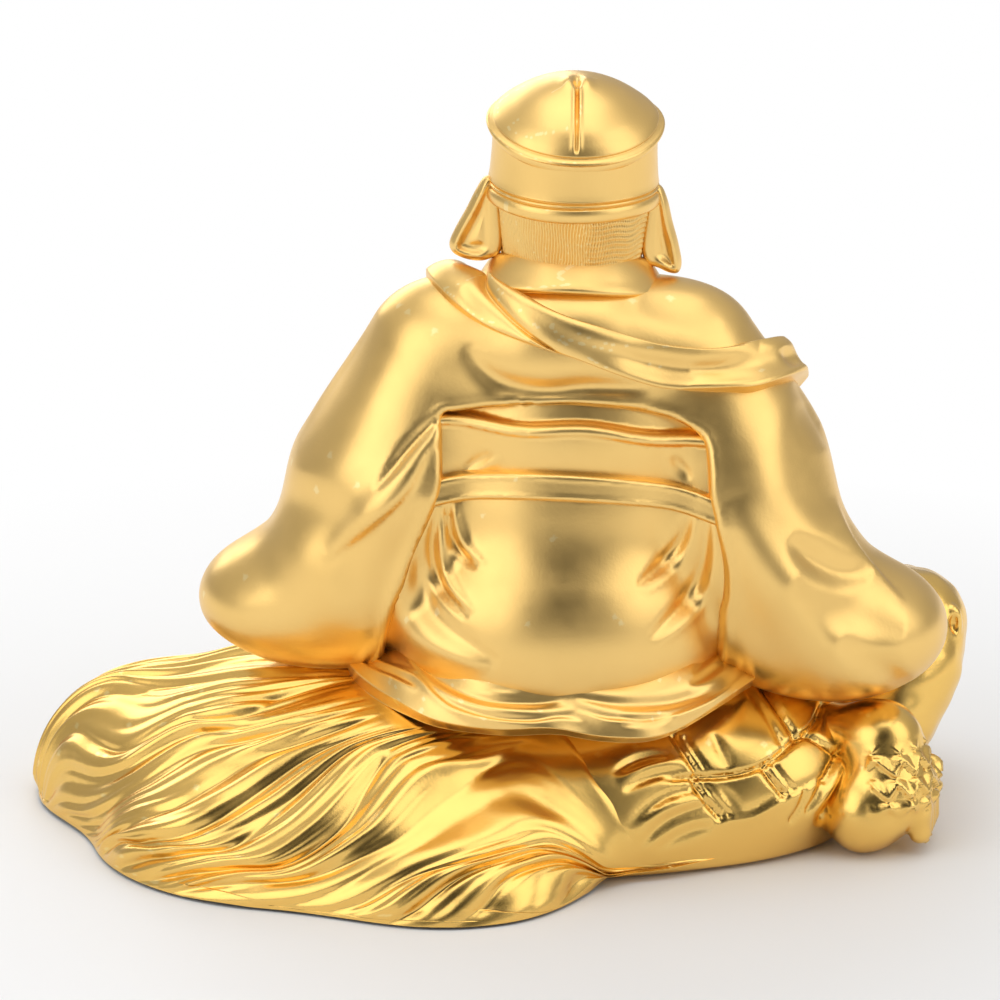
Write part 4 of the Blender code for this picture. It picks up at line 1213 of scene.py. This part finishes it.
def scales(p, size):
    """Overlapping scales like leaves, with their points downward."""
    across = p @ np.array((0.80, 0.60, 0.0))
    row = p[:, 2] / size
    level = np.floor(row)
    off = (across / size + 0.5 * (level % 2)) % 1.0 - 0.5
    drop = row - level - 1.3 * np.abs(off)
    return np.where(drop > 0, 1 - 1.1 * drop, 0.0) * ease(drop / 0.12)


def leg_heights(p, out, name):
    """Scales between the ankle and the knee, and a slight unevenness."""
    reach = ease((15.5 - p[:, 2]) / 2) * ease((p[:, 2] - 6.0) / 2.0)
    if name == "right_front_leg":
        reach = reach * ease((p[:, 1] - 5) / 2) * ease((-37.5 - p[:, 0]) / 2)
    return 0.9 * reach * scales(p, 2.8) + 0.08 * ripple(p, 5.0, 3)


def turtle_head_heights(p, out):
    front = facing(out, (0, -1, 0.2)) * carve(p[:, (0, 2)], TURTLE_HEAD_STROKES_FRONT)
    return front + 0.06 * ripple(p, 4.0, 6)


def make_limbs():
    for node, field, box in (
        ("left_hand", left_hand_field, ((-8, -39.5, 31), (14, -25.5, 45))),
        ("right_hand", right_hand_field, ((-16.5, -38, 37), (6.5, -24, 51))),
    ):
        cast(node, field, box, 0.5, "satin_gold", relax=2)
    head_box = ((-55, -32, -1), (-26, 3, 34))
    cast("turtle_head", turtle_head_field, head_box, 0.7, "bright_gold", turtle_head_heights)
    for node, (rods, _) in LEGS.items():
        spots = np.array(rods)[:, :3]
        low = np.append((spots.min(0) - 9.5)[:2], -1)
        high = np.append((spots.max(0) + 9.5)[:2], spots[:, 2].max() + 8)
        field = partial(leg_field, name=node)
        cast(node, field, (low, high), 0.7, "bright_gold", partial(leg_heights, name=node))


# --- materials ------------------------------------------------------------------------------------


def node_material(name, metallic):
    made = bpy.data.materials.new(name)
    made.use_nodes = True
    nodes, links = made.node_tree.nodes, made.node_tree.links
    shader = nodes["Principled BSDF"]
    shader.inputs["Metallic"].default_value = metallic
    place = nodes.new("ShaderNodeTexCoord").outputs["Object"]
    return made, nodes, links, shader, place


def noise(nodes, links, place, scale, detail=3.0, rough=0.55):
    made = nodes.new("ShaderNodeTexNoise")
    made.inputs["Scale"].default_value = scale
    made.inputs["Detail"].default_value = detail
    made.inputs["Roughness"].default_value = rough
    links.new(place, made.inputs["Vector"])
    return made.outputs["Fac"]


def ramp(nodes, links, value, stops):
    """A colour ramp. Each stop is (place, colour), where a number stands for a grey."""
    made = nodes.new("ShaderNodeValToRGB")
    band = made.color_ramp
    while len(band.elements) < len(stops):
        band.elements.new(0.5)
    for element, (at, colour) in zip(band.elements, stops):
        element.position = at
        element.color = (*colour, 1) if isinstance(colour, tuple) else (colour, colour, colour, 1)
    links.new(value, made.inputs["Fac"])
    return made.outputs["Color"]


def mixed(nodes, links, share, a, b, mode="MIX"):
    made = nodes.new("ShaderNodeMix")
    made.data_type = "RGBA"
    made.blend_type = mode
    if isinstance(share, float):
        made.inputs["Factor"].default_value = share
    else:
        links.new(share, made.inputs["Factor"])
    links.new(a, made.inputs["A"])
    links.new(b, made.inputs["B"])
    return made.outputs["Result"]


def bumped(nodes, links, height, distance, strength, normal=None):
    made = nodes.new("ShaderNodeBump")
    made.inputs["Distance"].default_value = distance
    made.inputs["Strength"].default_value = strength
    links.new(height, made.inputs["Height"])
    if normal is not None:
        links.new(normal, made.inputs["Normal"])
    return made.outputs["Normal"]


def gold(name, painted_hollow_shade, body, edge, rough, grain):
    """Gold plate: a fine cast grain, painted shade (a deeper, warmer colour) in the hollows and a painted
    highlight (a paler colour) on sharp edges.
    """
    made, nodes, links, shader, place = node_material(name, 1.0)
    # painted shade in the hollows and a painted highlight on sharp edges, chosen by pointiness
    hollow = nodes.new("ShaderNodeNewGeometry").outputs["Pointiness"]
    tone = ramp(nodes, links, hollow, ((0.40, painted_hollow_shade), (0.47, body), (0.54, body), (0.62, edge)))
    clouds = noise(nodes, links, place, 60.0)
    cloud = ramp(nodes, links, clouds, ((0.3, (0.95, 0.93, 0.88)), (0.7, 1.0)))
    colour = mixed(nodes, links, 0.6, tone, cloud, "MULTIPLY")
    links.new(colour, shader.inputs["Base Color"])
    specks = noise(nodes, links, place, 420.0, 4.0)
    speck = ramp(nodes, links, specks, ((0.3, rough - 0.02), (0.7, rough + 0.03)))
    links.new(speck, shader.inputs["Roughness"])
    fine = noise(nodes, links, place, 2600.0, 2.0, 0.6)
    broad = noise(nodes, links, place, 300.0, 2.0, 0.5)
    first = bumped(nodes, links, broad, 0.0001, 0.03 * grain)
    links.new(bumped(nodes, links, fine, 0.00003, 0.4 * grain, first), shader.inputs["Normal"])
    return made


def steel(name, colour, rough):
    """Zinc plate with a faint turned grain and dull spots."""
    made, nodes, links, shader, place = node_material(name, 1.0)
    darker = tuple(c * 0.8 for c in colour)
    tone = ramp(nodes, links, noise(nodes, links, place, 500.0), ((0.3, darker), (0.7, colour)))
    links.new(tone, shader.inputs["Base Color"])
    specks = noise(nodes, links, place, 1400.0)
    speck = ramp(nodes, links, specks, ((0.3, rough - 0.06), (0.7, rough + 0.08)))
    links.new(speck, shader.inputs["Roughness"])
    fine = noise(nodes, links, place, 3000.0)
    links.new(bumped(nodes, links, fine, 0.00003, 0.4), shader.inputs["Normal"])
    return made


def felt(name):
    """Pressed wool: short fibres in every direction, flecked."""
    made, nodes, links, shader, place = node_material(name, 0.0)
    fibre = noise(nodes, links, place, 1800.0, 6.0, 0.7)
    tone = ramp(nodes, links, fibre, ((0.3, (0.05, 0.006, 0.010)), (0.7, (0.14, 0.022, 0.030))))
    links.new(tone, shader.inputs["Base Color"])
    shader.inputs["Roughness"].default_value = 0.95
    shader.inputs["Sheen Weight"].default_value = 0.5
    links.new(bumped(nodes, links, fibre, 0.0002, 0.8), shader.inputs["Normal"])
    return made


# Each is (painted shade in the hollows, the plate's own colour, painted highlight on sharp edges)
SATIN_COLOURS = ((0.86, 0.45, 0.08), (0.94, 0.63, 0.22), (0.98, 0.74, 0.34))
BRIGHT_COLOURS = ((0.84, 0.43, 0.07), (0.93, 0.60, 0.17), (0.98, 0.72, 0.28))
PLATES = {
    "satin_gold": gold("satin_gold_plate", *SATIN_COLOURS, 0.34, 1.0),
    "bright_gold": gold("bright_gold_plate", *BRIGHT_COLOURS, 0.24, 0.7),
}
# For the pieces carried over from the CAD, by the start of their material's name
CARRIED = {
    "zinc_plated_steel": steel("zinc_plate", (0.62, 0.62, 0.60), 0.33),
    "bare_casting_alloy": steel("casting_alloy", (0.52, 0.50, 0.47), 0.48),
    "felt": felt("pressed_felt"),
}


# --- studio ---------------------------------------------------------------------------------------

WORLD_STRENGTH = 0.62
PATCH_HEIGHT = math.radians(35)


def world_light():
    """A studio with pale walls and ceiling, and a dark patch over the eye where the lights part."""
    world = bpy.data.worlds.new("studio")
    bpy.context.scene.world = world
    world.use_nodes = True
    nodes, links = world.node_tree.nodes, world.node_tree.links
    back = nodes["Background"]
    way = nodes.new("ShaderNodeTexCoord").outputs["Generated"]
    patch = nodes.new("ShaderNodeVectorMath")
    patch.operation = "DOT_PRODUCT"
    patch.inputs[1].default_value = (0.0, math.cos(PATCH_HEIGHT), math.sin(PATCH_HEIGHT))
    links.new(way, patch.inputs[0])
    dark = ramp(nodes, links, patch.outputs["Value"], ((0.68, 1.0), (0.84, 0.80), (0.975, 0.06)))
    parts = nodes.new("ShaderNodeSeparateXYZ")
    links.new(way, parts.inputs[0])
    height = ramp(nodes, links, parts.outputs["Z"], ((0.0, 0.62), (0.25, 0.70), (0.85, 1.0)))
    lit = mixed(nodes, links, 1.0, height, dark, "MULTIPLY")
    # the camera sees the background as plain white
    white = nodes.new("ShaderNodeRGB")
    white.outputs[0].default_value = (1 / WORLD_STRENGTH,) * 3 + (1,)
    path = nodes.new("ShaderNodeLightPath").outputs["Is Camera Ray"]
    links.new(mixed(nodes, links, path, lit, white.outputs[0]), back.inputs["Color"])
    back.inputs["Strength"].default_value = WORLD_STRENGTH
    bpy.context.scene.view_settings.view_transform = "Standard"


def softbox(name, place, aim, size, power):
    lamp = bpy.data.lights.new(name, "AREA")
    lamp.shape = "RECTANGLE"
    lamp.size, lamp.size_y = size
    lamp.energy = power
    made = bpy.data.objects.new(name, lamp)
    made.location = place
    made.rotation_euler = (Vector(aim) - Vector(place)).to_track_quat("-Z", "Y").to_euler()
    bpy.context.scene.collection.objects.link(made)


def make_lamps():
    softbox("softbox_left", (0.55, 0.45, 0.42), (0, 0, 0.05), (0.7, 0.7), 1.9)
    softbox("softbox_right", (-0.60, 0.30, 0.45), (0, 0, 0.05), (0.6, 0.7), 1.4)
    softbox("softbox_top", (0.0, 0.05, 0.85), (0, 0, 0), (0.8, 0.8), 2.2)
    softbox("softbox_front", (0.25, -0.65, 0.35), (0, 0, 0.05), (0.6, 0.4), 1.4)


def make_floor():
    """A white sweep, which fades far from the object into the white of the studio."""
    mesh = bpy.data.meshes.new("floor")
    mesh.from_pydata([(-4, -4, 0), (4, -4, 0), (4, 4, 0), (-4, 4, 0)], [], [(0, 1, 2, 3)])
    floor = bpy.data.objects.new("floor", mesh)
    bpy.context.scene.collection.objects.link(floor)
    made, nodes, links, shader, place = node_material("white_sweep", 0.0)
    tone = ramp(nodes, links, noise(nodes, links, place, 3.0), ((0.3, 0.86), (0.7, 0.88)))
    links.new(tone, shader.inputs["Base Color"])
    shader.inputs["Roughness"].default_value = 0.6
    far = nodes.new("ShaderNodeVectorMath")
    far.operation = "LENGTH"
    links.new(place, far.inputs[0])
    fade = ramp(nodes, links, far.outputs["Value"], ((0.065, 0.0), (0.18, 1.0)))
    glow = nodes.new("ShaderNodeEmission")
    blend = nodes.new("ShaderNodeMixShader")
    links.new(fade, blend.inputs[0])
    links.new(shader.outputs[0], blend.inputs[1])
    links.new(glow.outputs[0], blend.inputs[2])
    links.new(blend.outputs[0], nodes["Material Output"].inputs["Surface"])
    mesh.materials.append(made)


def make_camera():
    """The eye behind the figure, in metres and in the frame of the CAD."""
    camera = bpy.data.objects.new("camera", bpy.data.cameras.new("camera"))
    camera.data.lens = 150.0
    camera.data.sensor_width = 36.0
    aim = Vector((AIM + FIGURE_AXIS) * MM)
    camera.location = aim + Vector(TOWARD_EYE) * RANGE * MM
    camera.rotation_euler = Vector(-TOWARD_EYE).to_track_quat("-Z", "Y").to_euler()
    camera.data.clip_start = 0.02
    bpy.context.scene.collection.objects.link(camera)
    bpy.context.scene.camera = camera


make_robe()
make_waist()
make_turtle_shell()
make_tail()
make_hem()
make_scarf()
make_head()
make_nape_hair()
make_crown()
make_band()
make_collar()
make_limbs()
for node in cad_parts.values():
    for place in node.material_slots:
        for kind, finish in CARRIED.items():
            if place.material and place.material.name.startswith(kind):
                place.material = finish
world_light()
make_lamps()
make_floor()
make_camera()
